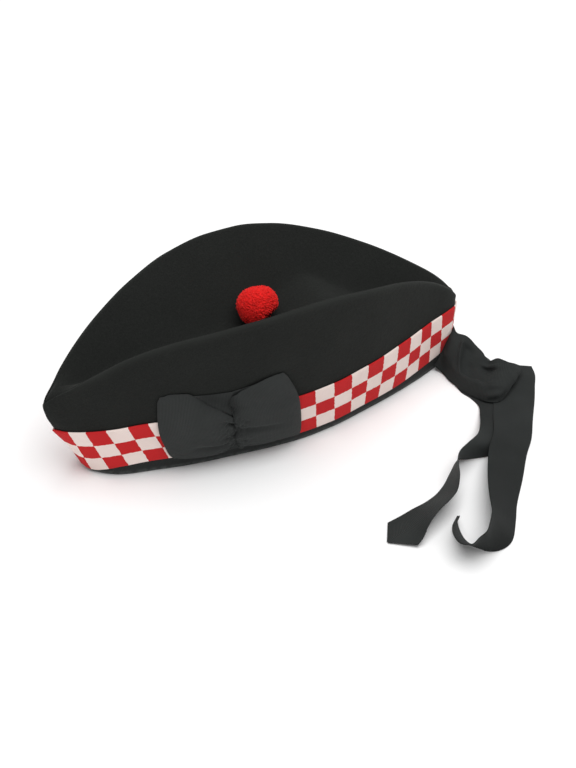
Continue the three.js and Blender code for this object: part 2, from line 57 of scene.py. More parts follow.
# The cap from its front seam (share 0) to its back seam (share 1), in millimetres
STATION_COLUMNS = ("share", "rim_x", "rim_half", "ridge_x", "ridge_half", "ridge_z")
STATIONS = (
    (0.0, -125.8, 0.0, -149.2, 0.0, 60.0),
    (0.015, -124.2, 4.6, -146.6, 3.8, 63.5),
    (0.04, -119.0, 10.6, -139.0, 8.6, 70.3),
    (0.09, -107.0, 18.0, -122.0, 17.8, 83.8),
    (0.16, -88.0, 22.8, -100.0, 27.0, 97.7),
    (0.25, -62.5, 28.6, -75.0, 37.3, 107.8),
    (0.35, -35.0, 32.2, -46.0, 46.8, 114.5),
    (0.45, -8.0, 35.3, -16.0, 50.6, 117.8),
    (0.52, 10.5, 36.0, 4.0, 50.2, 118.2),
    (0.6, 33.0, 34.2, 28.0, 47.0, 115.6),
    (0.7, 60.0, 28.8, 58.0, 39.0, 107.2),
    (0.8, 87.0, 22.2, 88.0, 25.8, 95.0),
    (0.9, 113.0, 14.2, 118.0, 12.8, 77.5),
    (0.96, 130.0, 7.2, 136.0, 7.2, 62.8),
    (0.985, 137.0, 3.4, 142.4, 3.6, 55.0),
    (1.0, 140.6, 0.0, 145.0, 0.0, 51.2),
)

# The valley's floor and the band's two edges at the same shares
LEVEL_COLUMNS = ("share", "valley_z", "low", "high")
LEVELS = (
    (0.0, 60.0, 2.6, 38.5),
    (0.015, 63.5, 2.7, 38.7),
    (0.028, 66.9, 3.2, 39.0),
    (0.04, 68.5, 4.0, 39.5),
    (0.052, 68.3, 5.3, 40.35),
    (0.065, 67.6, 6.6, 41.3),
    (0.09, 67.4, 9.0, 43.0),
    (0.16, 71.8, 11.2, 45.5),
    (0.25, 73.5, 11.5, 46.5),
    (0.35, 73.0, 10.0, 46.3),
    (0.45, 73.0, 8.8, 46.0),
    (0.52, 73.0, 8.0, 45.2),
    (0.6, 73.0, 7.6, 45.0),
    (0.69, 73.0, 8.1, 46.6),
    (0.8, 71.0, 8.6, 47.2),
    (0.9, 64.0, 11.0, 47.0),
    (0.96, 58.5, 12.0, 46.5),
    (0.985, 54.6, 12.0, 45.5),
    (1.0, 51.2, 12.0, 45.0),
)
# Where the felt is pushed up in the valley behind the toorie: its height by share
RAISED_FLOOR = (
    (0.46, 66.0), (0.5, 72.5), (0.54, 78.0), (0.572, 82.0), (0.6, 85.4), (0.632, 87.4), (0.655, 85.8),
    (0.684, 80.8), (0.718, 75.7), (0.76, 66.0),
)

# Where the boundary of each numbered check meets the band's upper and lower edge
CHECKS_ABOVE = (
    (0.0, -0.6), (0.023, 0.0), (0.05, 1.0), (0.086, 2.0), (0.127, 3.0), (0.168, 4.0),
    (0.55, 12.0), (0.599, 13.0), (0.648, 14.0), (0.696, 15.0), (0.743, 16.0), (0.789, 17.0),
    (0.831, 18.0), (0.869, 19.0), (0.902, 20.0), (0.935, 21.0), (0.98, 22.0), (1.0, 22.4),
)
CHECKS_BELOW = (
    (0.0, -0.6), (0.065, 1.0), (0.198, 4.0), (0.558, 12.0), (0.655, 14.0),
    (0.741, 16.0), (0.83, 18.0), (0.878, 19.1), (1.0, 22.4),
)
CHECK_AT_FRONT = -0.6
CHECK_ROWS = 3

# Gaps between the layers, at the seams and over the floor, in millimetres
CLEARANCE = 0.3
FLOOR_GAP = 0.05
SEAM_GAP = 0.12
PANEL_ABOVE_FLOOR = 1.2
KNOT_SEAT_LIFT = 1.9
CROWN_INSET = 2.6
CROWN_BELOW_RIDGE = 1.3

# The walls' swell in millimetres, and the half width from which they swell in full
WALL_SWELL = 3.0
SWELL_FULL_AT = 20.0
# Waves of the hand-shaped felt: height in millimetres, radians along and up the wall and their start,
# then the radians and the start of the wave up the wall that they are multiplied with
FELT_WAVES = ((0.45, 17.0, 2.2, 0.6, 3.4, 0.4), (0.22, 41.0, -4.0, 1.9, 5.2, 1.1))
# How near the seams (as a share) and the rim (as a rise) these waves die away
STILL_AT_SEAMS = 0.12
STILL_AT_RIM = 0.25
# The nose: its swell in millimetres, the share that it takes up and the rise that it starts at
NOSE_SWELL = 3.4
NOSE_SHARE = 0.05
NOSE_FROM_RISE = 0.3
# How much its top is tucked in, from which rise, and the shares over which the tuck grows
NOSE_TUCK = 0.25
NOSE_TUCK_FROM = 0.74
NOSE_TUCK_SHARES = (0.06, 0.015)
# What makes t * t * (1 - t) one high
SLANTED_HILL = 27 / 4
# The least lean of a mitred seam, and how much closer together the cap's points are near its seams
LEAST_MITRE = 0.2
CROWDING = 0.55

# A side panel's points: how many along it, then its rises (first, last, how many), closer below the ridge
PANEL_ALONG = 170
PANEL_RISES = ((0.008, 0.9, 34), (0.92, 1.0, 12))
# How far below its ridge the felt is thicker and how far round the ridge a highlight is painted, in
# millimetres, each with the shares over which it begins or ends, and how many points mark the ridge
WELT_DEPTH = 4.5
WELT_SHARES = ((0.02, 0.1), (0.995, 0.95))
RIDGE_HIGHLIGHT_SPREAD = 3.2
RIDGE_HIGHLIGHT_SHARES = (0.03, 0.1)
RIDGE_POINTS = 500

# The top panel: its points, the shares that it spans and how round its valley is
CROWN_ALONG = 190
CROWN_ACROSS = 81
CROWN_SHARES = (0.011, 0.9945)
VALLEY_ROUNDING = 0.13
# Its waves: height in millimetres, then radians along and across
CROWN_WAVE = (0.5, 23.0, 3.0)
# How softly its raised felt meets the slopes, in millimetres, and the shares where that begins and ends
RAISED_BLEND = 2.6
RAISED_SHARES = ((0.46, 0.5), (0.76, 0.72))
# How far it stands up at its two ends, in millimetres, and the shares over which that grows
NOSE_CROWN = 1.3
CROWN_END_SHARES = ((0.09, 0.03), (0.95, 0.98))

# The points along the band and the binding, and across each; those of the binding's two corners
RING_ALONG = 190
BAND_ACROSS = 19
BINDING_ACROSS = 9
BINDING_TURN = 6
# The binding's corners, its height inside, and the height and spread of its paler bottom fold, partly wear
# and partly a painted highlight that lifts the floor's shadow, in millimetres
BINDING_CORNER = 0.9
BINDING_INSIDE_HEIGHT = 12.0
BINDING_PALE_AT = 1.0
BINDING_PALE_SPREAD = 2.0

# The bow's middle, as a share, then the lift of its back from the band and from the felt, the heights
# over which the one becomes the other, its back's two edges and how far out the back's rows lie
BOW_MIDDLE = 0.351
BOW_BACK_LIFT = 2.0
BOW_BACK_ON_FELT = 0.6
BOW_SEAT_HEIGHTS = (45.0, 53.0)
BOW_BACK_TOP = 65.4
BOW_BACK_LOW = 10.0
BOW_BACK_OUTS = (0.75, 0.5, 0.25, 0.0)
# Its points across, the part of its width that they span, how many there are from row to row,
# and which line of them its length is measured on
BOW_ACROSS = 52
BOW_SPAN = (0.01, 0.99)
BOW_PER_ROW = 10
BOW_MEASURED_AT = 20
# The rows, counted from the front's last, over which its folds die away
BOW_TURN = (0.2, -0.8)
# How firmly the wings are pressed down along their lower edges and along each upper edge, and how far out
LOW_PRESS = 0.78
LEFT_PRESS = 1.0
RIGHT_PRESS = 0.88
PRESS_OUT = (-0.05, 0.2)
# How far out their upper part rises from the pinch, and the heights from which it does
RISE_OUT = (-0.01, 0.12)
RISE_HEIGHTS = (43.0, 49.0)
# The gathers beside the pinch: height in millimetres, number across and start of each, then how far
# out they reach and how sharply they end
GATHERS = ((0.8, 3.0, 0.2), (0.4, 5.3, 0.4))
GATHER_REACH = 0.26
GATHER_FALL = 1.4
# Each wing's long crease, as a share of its height, how it slants and how far out it begins
LEFT_CREASE = 0.27
RIGHT_CREASE = 0.4
CREASE_SLANT = 0.1
CREASE_OUT = (0.02, 0.2)
# The crease and the lip above it: height in millimetres, place, width and how far out each fades
CREASES = ((-1.7, 0.0, 0.045, (0.85, 0.4)), (0.5, 0.085, 0.04, (0.7, 0.3)))
# The wings' sag: height in millimetres, radians outwards and across, and start
BOW_SAG = (0.45, 5.0, 6.0, 1.3)
# How much is rounded off their upper and lower corners, over which part of the width and how far out
TOP_CORNER = 0.035
LEFT_LOW_CORNER = 0.03
RIGHT_LOW_CORNER = 0.012
TOP_CORNER_SPAN = (0.9, 1.0)
LOW_CORNER_SPAN = (0.12, 0.0)
CORNER_OUT = (0.5, 1.0)
# The pinch: its reach outwards, its wander as a share with radians by height and start, then its slant
# and the heights over which it slants
PINCH_REACH = 0.14
PINCH_WANDER = 0.0025
PINCH_WAVE = (0.42, 0.6)
PINCH_SLANT = -0.007
PINCH_SLANT_HEIGHTS = (38.0, 52.0)
# The puckers: their size and their height away from the pinch and at it, in millimetres, where they are
# taken from the noise, their reach outwards and the heights over which they grow
PUCKER_SIZE = 1.9
PUCKER_HEIGHT = 0.2
PINCH_PUCKER_HEIGHT = 1.5
PUCKER_OFFSET = (1.3, 0.0, 0.0)
PUCKER_REACH = 0.19
PUCKER_HEIGHTS = (50.0, 42.0)
# Each wing's outer fold: its share by height
LEFT_FOLD = ((8.0, 0.208), (22.0, 0.196), (40.0, 0.188), (70.0, 0.199))
RIGHT_FOLD = ((8.0, 0.514), (31.0, 0.51), (46.0, 0.505), (73.0, 0.471))
# Each wing's rows from the pinch outwards: how far out, top, low and lift
LEFT_WING = (
    (0.0, 44.0, 17.0, 3.7),
    (0.1, 48.5, 13.0, 5.0),
    (0.2, 52.0, 10.6, 6.0),
    (0.32, 56.8, 9.6, 6.7),
    (0.45, 63.4, 9.2, 6.9),
    (0.62, 69.2, 9.2, 6.8),
    (0.83, 69.4, 10.2, 5.9),
    (0.97, 67.8, 11.6, 4.3),
)
RIGHT_WING = (
    (0.0, 44.0, 17.0, 3.7),
    (0.005, 55.0, 15.0, 4.6),
    (0.03, 61.5, 13.0, 5.3),
    (0.1, 64.4, 11.8, 6.0),
    (0.26, 67.2, 10.8, 6.7),
    (0.45, 69.8, 10.2, 7.1),
    (0.65, 71.8, 10.0, 6.9),
    (0.85, 72.6, 9.4, 6.0),
    (0.97, 72.0, 8.9, 4.3),
)
# The painted shade in the recess between the wings: its two ends by share and height, how many points mark
# it, how far it spreads in millimetres and how dark it is painted
RECESS = ((0.345, 55.0), (0.3, 63.5))
RECESS_POINTS = 30
RECESS_SPREAD = 6.5
RECESS_PAINTED_SHADE = -0.34

# The ribbon's left end: where it leaves the cap (share and height), then rows from there to where it is
# nipped, round the loop and back under it, each from the upper edge over the shoulder and the roll to the
# lower edge
LEAD_START = ((0.993, 26.5), (0.983, 25.0), (0.974, 22.0), (0.965, 18.0), (0.956, 13.5), (0.946, 9.0),
              (0.936, 4.5))
LEAD_ROWS = (
    ((142.0, -9.5, 25.0), (137.0, -13.0, 23.5), (133.0, -15.5, 20.0), (130.0, -16.5, 15.0),
     (129.6, -16.0, 10.0), (128.4, -16.8, 5.2), (127.5, -18.5, 0.9)),
    ((147.5, -13.0, 23.0), (140.5, -18.0, 22.0), (136.0, -21.0, 18.0), (132.0, -24.0, 13.5),
     (130.0, -26.0, 10.4), (128.8, -26.0, 5.8), (127.8, -27.2, 0.9)),
    ((151.0, -19.0, 19.0), (145.5, -22.5, 17.5), (141.0, -26.0, 14.5), (137.0, -30.0, 11.0),
     (133.0, -34.8, 10.4), (131.0, -36.8, 6.2), (129.9, -38.8, 0.9)),
    ((153.5, -26.0, 15.5), (149.5, -29.0, 14.0), (146.0, -31.5, 11.5), (142.5, -35.5, 9.5),
     (137.4, -43.4, 10.8), (134.8, -46.8, 6.6), (133.8, -48.8, 1.2)),
    ((154.5, -33.0, 13.0), (153.0, -35.0, 11.4), (151.0, -37.5, 9.0), (145.0, -46.5, 11.0),
     (141.8, -52.6, 10.8), (139.8, -56.2, 7.0), (139.0, -58.2, 1.9)),
    ((160.0, -35.5, 15.0), (157.0, -40.5, 14.4), (154.5, -44.5, 13.0), (150.5, -51.0, 13.0),
     (146.5, -56.5, 11.2), (144.2, -59.8, 7.6), (143.0, -61.4, 2.3)),
    ((165.0, -40.5, 14.0), (162.5, -44.5, 13.8), (159.0, -49.0, 13.0), (155.0, -54.0, 12.0),
     (151.5, -58.0, 10.0), (148.0, -60.8, 6.8), (145.0, -62.2, 2.5)),
    ((171.0, -41.5, 10.8), (168.0, -45.5, 11.0), (165.0, -49.0, 10.6), (160.5, -53.0, 9.6),
     (156.5, -56.5, 8.2), (152.0, -59.0, 5.6), (147.0, -61.8, 2.5)),
    ((176.5, -42.5, 6.0), (173.0, -45.5, 6.2), (169.0, -48.5, 6.0), (164.0, -52.5, 5.8),
     (159.0, -55.5, 4.8), (153.5, -59.0, 3.8), (147.0, -62.2, 2.3)),
    ((172.0, -42.5, 3.8), (168.5, -45.5, 3.9), (164.5, -48.5, 3.9), (160.0, -51.5, 3.9),
     (155.0, -54.5, 3.2), (150.0, -57.5, 2.6), (146.0, -60.0, 1.9)),
    ((162.0, -41.0, 3.5), (159.0, -43.5, 3.5), (156.0, -46.0, 3.5), (152.5, -48.5, 3.5),
     (149.0, -51.0, 2.9), (146.0, -53.5, 2.4), (143.5, -56.0, 1.8)),
)
# The ribbon's right end, behind it, in the same way
BACK_START = ((0.993, 18.5), (0.978, 15.5), (0.962, 12.0), (0.95, 8.5), (0.942, 4.0))
BACK_ROWS = (
    ((147.0, 0.0, 17.8), (147.3, 0.9, 14.4), (145.2, 2.9, 10.6),
     (141.6, 5.0, 6.8), (139.0, 6.8, 2.4)),
    ((146.4, -5.4, 18.8), (148.8, -3.6, 14.6), (148.4, -1.8, 10.0),
     (146.2, 0.0, 5.8), (143.8, 1.4, 1.2)),
    ((147.6, -11.8, 20.0), (150.8, -9.4, 15.2), (151.9, -7.8, 9.8),
     (151.2, -6.6, 5.2), (149.6, -5.8, 1.2)),
    ((151.3, -18.3, 16.3), (155.0, -16.0, 11.5), (157.2, -14.8, 7.4),
     (157.9, -14.2, 4.2), (157.5, -14.0, 1.4)),
    ((153.8, -25.5, 12.8), (157.4, -24.4, 9.0), (159.8, -24.0, 5.6),
     (161.0, -23.8, 3.2), (161.0, -23.6, 1.5)),
    ((155.6, -32.4, 11.4), (159.0, -31.4, 8.0), (161.8, -30.8, 4.8),
     (163.4, -30.4, 3.2), (164.0, -30.0, 1.8)),
    ((159.5, -37.0, 9.0), (163.0, -36.8, 6.2), (165.5, -36.5, 3.6),
     (167.0, -36.0, 2.7), (167.5, -35.5, 2.0)),
    ((164.0, -43.5, 2.6), (166.5, -42.5, 2.5), (168.5, -42.0, 2.4),
     (170.0, -41.0, 2.2), (170.5, -40.5, 2.0)),
)
# The layer of ribbon that lies flat under both
UNDER_ROWS = (
    ((141.8, -2.6, 0.6), (136.0, -6.8, 0.6), (129.8, -9.2, 0.6)),
    ((147.8, -9.0, 0.6), (138.5, -14.0, 0.6), (127.9, -18.2, 0.9)),
    ((154.6, -17.0, 0.6), (142.5, -22.5, 0.6), (128.1, -27.0, 0.9)),
    ((158.6, -25.2, 0.6), (145.0, -31.0, 0.6), (130.0, -37.0, 0.9)),
    ((160.5, -34.0, 0.6), (148.0, -39.5, 0.6), (134.4, -46.0, 0.9)),
)
# Points along and across each of these three layers
LEAD_POINTS = (170, 72)
BACK_POINTS = (60, 34)
UNDER_POINTS = (40, 24)
# The small wrinkles of the first two: height and size in millimetres and their place in the noise,
# then the part of a layer's length over which they begin
LEAD_WRINKLES = (0.5, 6.5, (3.1, 7.13, 0.7))
BACK_WRINKLES = (0.6, 7.0, (8.4, 19.32, 0.7))
WRINKLES_FROM = (0.03, 0.2)
# Millimetres between the rows of the first and across them
LEAD_ROW_STEP = 9.0
LEAD_WIDTH = 34.0
# Its pleat: the rows that it leads from and to, where across it starts and how long it is, its soft ends,
# then height, place and width of its ridge and of the hollow behind, in millimetres
PLEAT_ROWS = (2.0, 2.75)
PLEAT_START = 0.12
PLEAT_LENGTH = 0.55
PLEAT_ENDS = ((0.06, 0.16), (0.72, 0.58))
PLEAT_HILLS = ((1.9, 0.0, 1.4), (-2.5, 7.2, 4.8))
# Its roll: where across it lies, height and width in millimetres, and the rows of its soft ends
ROLL_ACROSS = 0.6
ROLL_HEIGHT = -1.3
ROLL_WIDTH = 1.8
ROLL_ENDS = ((2.3, 3.2), (5.3, 4.5))
# Where it is nipped together: row, place across, slant and reach in rows, then height in millimetres,
# place across and width in millimetres of the lip and of the groove
NIP_ROW = 4.9
NIP_ACROSS = 0.34
NIP_SLANT = -0.05
NIP_REACH = 0.6
NIP_HILLS = ((1.3, -0.1, 1.7), (-0.7, 0.0, 1.2))
# The fan of folds beyond: height in millimetres, turns across and along, first row and soft ends
FAN_HEIGHT = 0.5
FAN_ACROSS = 4.6
FAN_ALONG = 0.12
FAN_ROW = 5
FAN_ENDS = ((4.7, 5.4), (7.6, 5.8))

# The tails: the edge that rests low and the free edge, row by row
TAIL_LONG_REST = (
    (187.0, -38.0, 1.0), (184.5, -46.5, 1.0), (178.0, -56.8, 1.0), (170.5, -68.5, 1.0),
    (158.5, -85.5, 0.8), (147.0, -102.0, 0.4), (136.0, -114.0, 0.4), (121.2, -132.9, 0.4),
    (106.3, -151.1, 0.4), (98.8, -162.3, 0.4), (87.8, -176.4, 0.4), (81.2, -180.0, 0.4),
    (73.8, -180.3, 0.4), (68.3, -177.7, 0.4), (64.7, -173.1, 0.4), (61.6, -168.8, 0.4),
    (57.4, -165.0, 0.4), (57.1, -158.2, 0.4), (59.9, -150.9, 0.4), (67.5, -143.8, 0.4),
)
TAIL_LONG_FREE = (
    (163.5, -25.0, 1.0), (160.5, -33.0, 1.0), (155.0, -41.5, 1.0), (147.5, -53.0, 1.0),
    (135.5, -71.5, 3.0), (123.0, -92.0, 7.9), (111.5, -105.5, 9.6), (98.3, -125.4, 15.2),
    (87.4, -144.3, 20.2), (81.2, -157.0, 21.8), (76.3, -167.1, 24.2), (71.8, -173.6, 26.2),
    (66.5, -180.2, 27.7), (61.8, -184.7, 27.0), (56.8, -185.3, 24.7), (51.7, -185.3, 21.1),
    (49.6, -181.6, 21.9), (50.1, -174.8, 22.2), (52.6, -166.9, 22.5), (57.4, -161.1, 20.4),
)
TAIL_SHORT_REST = (
    (157.0, -34.0, 0.4), (157.5, -45.0, 0.4), (158.5, -57.0, 0.4), (156.0, -72.0, 0.4),
    (148.0, -88.0, 0.4), (137.0, -101.5, 0.4), (120.0, -104.5, 0.4), (108.0, -102.6, 0.4),
    (99.0, -100.4, 0.4), (93.7, -98.6, 0.4), (82.4, -107.6, 0.4), (73.4, -115.7, 0.4),
    (64.4, -121.5, 0.4), (54.6, -124.9, 0.4), (45.2, -126.4, 0.4), (34.9, -128.4, 0.4),
    (25.6, -129.8, 0.4),
)
TAIL_SHORT_FREE = (
    (129.0, -31.0, 0.4), (129.0, -41.0, 0.4), (131.5, -48.7, 0.4), (132.2, -58.0, 1.2),
    (126.2, -70.0, 4.0), (117.2, -84.2, 10.0), (106.0, -98.7, 18.0), (94.4, -106.6, 22.0),
    (86.4, -110.6, 21.5), (82.3, -115.0, 20.2), (76.5, -128.2, 18.8), (69.6, -138.0, 17.2),
    (62.0, -143.7, 17.6), (51.2, -148.2, 15.8), (42.2, -152.2, 11.2), (36.4, -155.9, 5.8),
    (32.5, -156.9, 2.4),
)
# How far the middle of each cut end stands out, in millimetres, and over how many rows
TAIL_LONG_POINT = 0.0
TAIL_SHORT_POINT = 12.6
TAIL_POINT_ROWS = 2.2
# The tails' points across, the part of their width that these span, and how many there are from row to row
TAIL_ACROSS = 18
TAIL_SPAN = (0.015, 0.985)
TAIL_PER_ROW = 10
# Their ripple and their curled edges: height and millimetres to a radian, then start
TAIL_RIPPLE = (0.35, 11.0, 0.0)
TAIL_CURL = (0.5, 23.0, 1.0)
# Painted light and shade along each tail's length: lighter where the value is above 0, darker below 0
TAIL_LONG_PAINTED_LIGHT = (
    (0.0, 0.04), (0.2, 0.04), (0.3, -0.14), (0.4, -0.29), (0.48, -0.42), (0.56, -0.47), (0.64, -0.36),
    (0.72, -0.22), (0.8, 0.06), (1.0, 0.1),
)
TAIL_SHORT_PAINTED_LIGHT = (
    (0.0, 0.0), (0.3, -0.04), (0.36, 0.08), (0.42, 0.4), (0.48, 0.72), (0.56, 0.7), (0.63, 0.6),
    (0.7, 0.22), (0.82, 0.2), (1.0, 0.16),
)

# The toorie's middle in the cap's own drawing
TOORIE_CENTRE = np.array([-3.0, -1.0, 89.4])
# Its wool's shade, from 0 to 1, how much painted light brightens the lower wool, which the felt shades,
# and between which heights, and the shade of the imported wool behind the strands
TOORIE_SHADE = 0.5
TOORIE_LOW_PAINTED_LIGHT = 0.5
TOORIE_PAINTED_LIGHT_HEIGHTS = (0.1, -0.5)
HEAD_SHADE = 0.4
# The seed of its strands, and how far they differ from each other in place, length, lean and shade
TOORIE_SEED = 11
PLACE_SCATTER = 0.012
LENGTH_SCATTER = 0.011
LEAN_SCATTER = 0.07
SHADE_SCATTER = 0.17
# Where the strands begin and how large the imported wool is, as shares of the toorie's radius
STRAND_ROOT = 0.86
HEAD_SIZE = 0.945
# Each strand's rings, how far along it and their radius in millimetres, and its sides, as many as a face has
STRAND_RINGS = ((0.0, 0.42), (0.6, 0.44), (0.9, 0.36), (1.0, 0.18))
STRAND_SIDES = 4
# Its lumps: height as a share of its radius, how close together, and their place in the noise
LUMP_HEIGHT = 0.035
LUMP_SCALE = 2.3
LUMP_OFFSET = (4.1, 0.0, 7.7)
# Where the shears have trimmed it flatter or left it fuller: a direction and how deep, as a share of its
# radius, and how squarely the wool faces that way where the trim begins and where it is full
TOORIE_TRIMS = (
    ((0.36, 0.52, 0.78), 0.09),
    ((0.869, 0.046, 0.493), -0.08),
    ((-0.834, -0.108, -0.542), 0.05),
    ((0.85, -0.5, 0.15), 0.11),
    ((-0.1, -0.98, 0.1), 0.06),
)
TRIM_FACING = (0.55, 1.0)
# Where the felt presses it flat: a direction and how far the flat side is from its middle, how round the
# flat side's edge is, and how squarely wool has to face it
TOORIE_FLAT = ((0.41, -0.72, -0.56), 0.6)
TOORIE_FLAT_ROUNDING = 0.06
FLAT_LEAST_FACING = 0.2

# The felt: the height of its fibres beside the matting's, and how pale its painted highlight along the ridge
# is
FIBRE_HEIGHT = 0.6
RIDGE_HIGHLIGHT_PALE = 1.45
# The ribbon's weave: millimetres from rib to rib and from thread to thread, how far the ribs wander in
# radians, the height of threads and lint beside a rib's, how dark its clouds are and how pale its worn edge
# with its painted highlight is
RIB_STEP = 0.9
THREAD_STEP = 0.5
RIB_WANDER = 1.2
THREAD_HEIGHT = 0.12
LINT_HEIGHT = 0.5
CLOUD_DEPTH = 0.14
WEAR_AND_HIGHLIGHT_PALE = 3.6
# The band's weave, in checks: how far the edges of the checks stray, the margin that keeps the outer rows
# whole, the threads to a check across and along, and the height of its fuzz beside the weave's; then its
# soil and the darker side of the twist in the toorie's wool
CHECK_DRIFT = 0.09
CHECK_EDGE = 0.01
PICKS = 11
ENDS = 13
FUZZ_HEIGHT = 0.7
BAND_SOIL = (0.93, 0.91, 0.9, 1.0)
WOOL_TWIST = (0.84, 0.8, 0.8, 1.0)

# The view of the photograph, in metres and degrees, with its lens in millimetres
CAMERA_PLACE = (-0.33895, -0.7562, 0.7207)
CAMERA_AZIMUTH = -25.35
CAMERA_ELEVATION = 40.0
CAMERA_LENS = 76.96
CAMERA_SENSOR = 36.0
CAMERA_NEAR = 0.01
CAMERA_FAR = 50.0
# The floor's size, the sky's strength and the soft light, in metres and watts
FLOOR_SIZE = 8.0
SKY_STRENGTH = 0.48
LIGHT_PLACE = (0.3, -0.45, 3.2)
LIGHT_TARGET = (0.0, 0.0, 0.05)
LIGHT_SIZE = 2.8
LIGHT_POWER = 95.0

# How far out each row that rounds a sheet's edge lies, and how thick the sheet still is there, as shares
EDGE_ROLL = ((0.55, 0.835), (0.88, 0.475), (1.0, 0.0))


class GlengarrySizes(bpy.types.PropertyGroup):
    """Sizes of the cap's cloth and trimmings."""

    felt: FloatProperty(
        name="Felt", description="Thickness of the side panels' felt",
        default=0.0022, min=0.001, max=0.003, unit="LENGTH")
    crown_felt: FloatProperty(
        name="Crown felt", description="Thickness of the top panel's felt",
        default=0.002, min=0.001, max=0.003, unit="LENGTH")
    ridge_welt: FloatProperty(
        name="Ridge welt", description="How much thicker the felt is along the turned ridge",
        default=0.0022, min=0.0, max=0.003, unit="LENGTH")
    band: FloatProperty(
        name="Band", description="Thickness of the diced band",
        default=0.0012, min=0.0005, max=0.002, unit="LENGTH")
    ribbon: FloatProperty(
        name="Ribbon", description="Thickness of the ribbon of binding, bow, knot and tails",
        default=0.0005, min=0.0003, max=0.0015, unit="LENGTH")
    toorie_radius: FloatProperty(
        name="Toorie radius", description="From the toorie's middle to the ends of its wool",
        default=0.0138, min=0.008, max=0.02, unit="LENGTH")
    toorie_strands: IntProperty(
        name="Toorie strands", description="Number of strands of wool that show on the toorie",
        default=5200, min=500, max=8000)


class GlengarryColours(bpy.types.PropertyGroup):
    """Colours of the cap's cloth and trimmings."""

    felt: FloatVectorProperty(
        name="Felt", description="Black wool felt of the cap",
        default=(0.0145, 0.0157, 0.0145), size=3, min=0.0, max=1.0, subtype="COLOR")
    ribbon: FloatVectorProperty(
        name="Ribbon", description="Black ribbon of the binding, the knot and the tails",
        default=(0.0282, 0.0306, 0.0299), size=3, min=0.0, max=1.0, subtype="COLOR")
    petersham: FloatVectorProperty(
        name="Petersham", description="Ribbed black ribbon of the bow",
        default=(0.0405, 0.0433, 0.0424), size=3, min=0.0, max=1.0, subtype="COLOR")
    check_red: FloatVectorProperty(
        name="Red check", description="Red squares of the diced band",
        default=(0.6, 0.022, 0.025), size=3, min=0.0, max=1.0, subtype="COLOR")
    check_white: FloatVectorProperty(
        name="White check", description="White squares of the diced band",
        default=(0.96, 0.815, 0.765), size=3, min=0.0, max=1.0, subtype="COLOR")
    toorie: FloatVectorProperty(
        name="Toorie", description="Red wool of the toorie",
        default=(0.84, 0.02, 0.018), size=3, min=0.0, max=1.0, subtype="COLOR")
    floor: FloatVectorProperty(
        name="Floor", description="Pale floor under the cap",
        default=(0.95, 0.95, 0.95), size=3, min=0.0, max=1.0, subtype="COLOR")


# Curves through rows of numbers


def smooth_column(keys, values):
    """A curve through the rows that never overshoots them."""
    keys = np.asarray(keys, float)
    values = np.asarray(values, float)
    span = np.diff(keys)
    slope = np.diff(values) / span
    tangent = np.zeros(len(values))
    tangent[0] = slope[0]
    tangent[-1] = slope[-1]
    for k in range(1, len(values) - 1):
        if slope[k - 1] * slope[k] > 0:
            before = 2 * span[k] + span[k - 1]
            after = span[k] + 2 * span[k - 1]
            tangent[k] = (before + after) / (before / slope[k - 1] + after / slope[k])

    def at(wanted):
        wanted = np.clip(wanted, keys[0], keys[-1])
        k = np.clip(np.searchsorted(keys, wanted) - 1, 0, len(span) - 1)
        s = (wanted - keys[k]) / span[k]
        back = 1 - s
        ends = values[k] * (1 + 2 * s) * back * back + values[k + 1] * s * s * (3 - 2 * s)
        return ends + span[k] * s * back * (tangent[k] * back - tangent[k + 1] * s)

    return at


def columns(names, rows):
    """The named columns of a table as smooth curves over its first column."""
    table = np.array(rows, float)
    return {name: smooth_column(table[:, 0], table[:, k]) for k, name in enumerate(names) if k}


def thread_curve(points, at):
    """Points on a smooth curve through a row of points, at shares from 0 to 1."""
    points = np.array(points, float)
    padded = np.concatenate([[2 * points[0] - points[1]], points, [2 * points[-1] - points[-2]]])
    place = np.clip(np.asarray(at, float), 0, 1) * (len(points) - 1)
    k = np.minimum(place.astype(int), len(points) - 2)
    s = (place - k)[:, None]
    p0, p1, p2, p3 = (padded[k + step] for step in range(4))
    gaps = [np.sqrt(np.linalg.norm(b - a, axis=1))[:, None] for a, b in ((p0, p1), (p1, p2), (p2, p3))]
    leave = (p1 - p0) / gaps[0] - (p2 - p0) / (gaps[0] + gaps[1]) + (p2 - p1) / gaps[1]
    arrive = (p2 - p1) / gaps[1] - (p3 - p1) / (gaps[1] + gaps[2]) + (p3 - p2) / gaps[2]
    leave = leave * gaps[1]
    arrive = arrive * gaps[1]
    square = -3 * p1 + 3 * p2 - 2 * leave - arrive
    cube = 2 * p1 - 2 * p2 + leave + arrive
    return p1 + s * (leave + s * (square + s * cube))


def unit(vectors):
    """Vectors of length 1."""
    return vectors / np.maximum(np.linalg.norm(vectors, axis=-1, keepdims=True), 1e-12)


def lerp(a, b, t):
    """From a to b."""
    return a + (b - a) * t


def soft_step(low, high, value):
    """A smooth rise from 0 at low to 1 at high."""
    t = np.clip((value - low) / (high - low), 0, 1)
    return t * t * (3 - 2 * t)


def within(ends, value):
    """1 along a stretch and 0 outside it, with a soft step at each end."""
    return soft_step(*ends[0], value) * soft_step(*ends[1], value)


def hill(off, width):
    """A smooth hill, 1 high in its middle, at a distance from it."""
    return np.exp(-((off / width) ** 2))


def noise_at(points, offset):
    """Smooth noise at some points, each moved by an offset."""
    return np.array([noise.noise(Vector(point) + Vector(offset)) for point in points])


CAP = {**columns(STATION_COLUMNS, STATIONS), **columns(LEVEL_COLUMNS, LEVELS)}
CHECK_ABOVE = smooth_column(*np.array(CHECKS_ABOVE).T)
CHECK_BELOW = smooth_column(*np.array(CHECKS_BELOW).T)
RAISED = smooth_column(*np.array(RAISED_FLOOR).T)


# The cap's walls


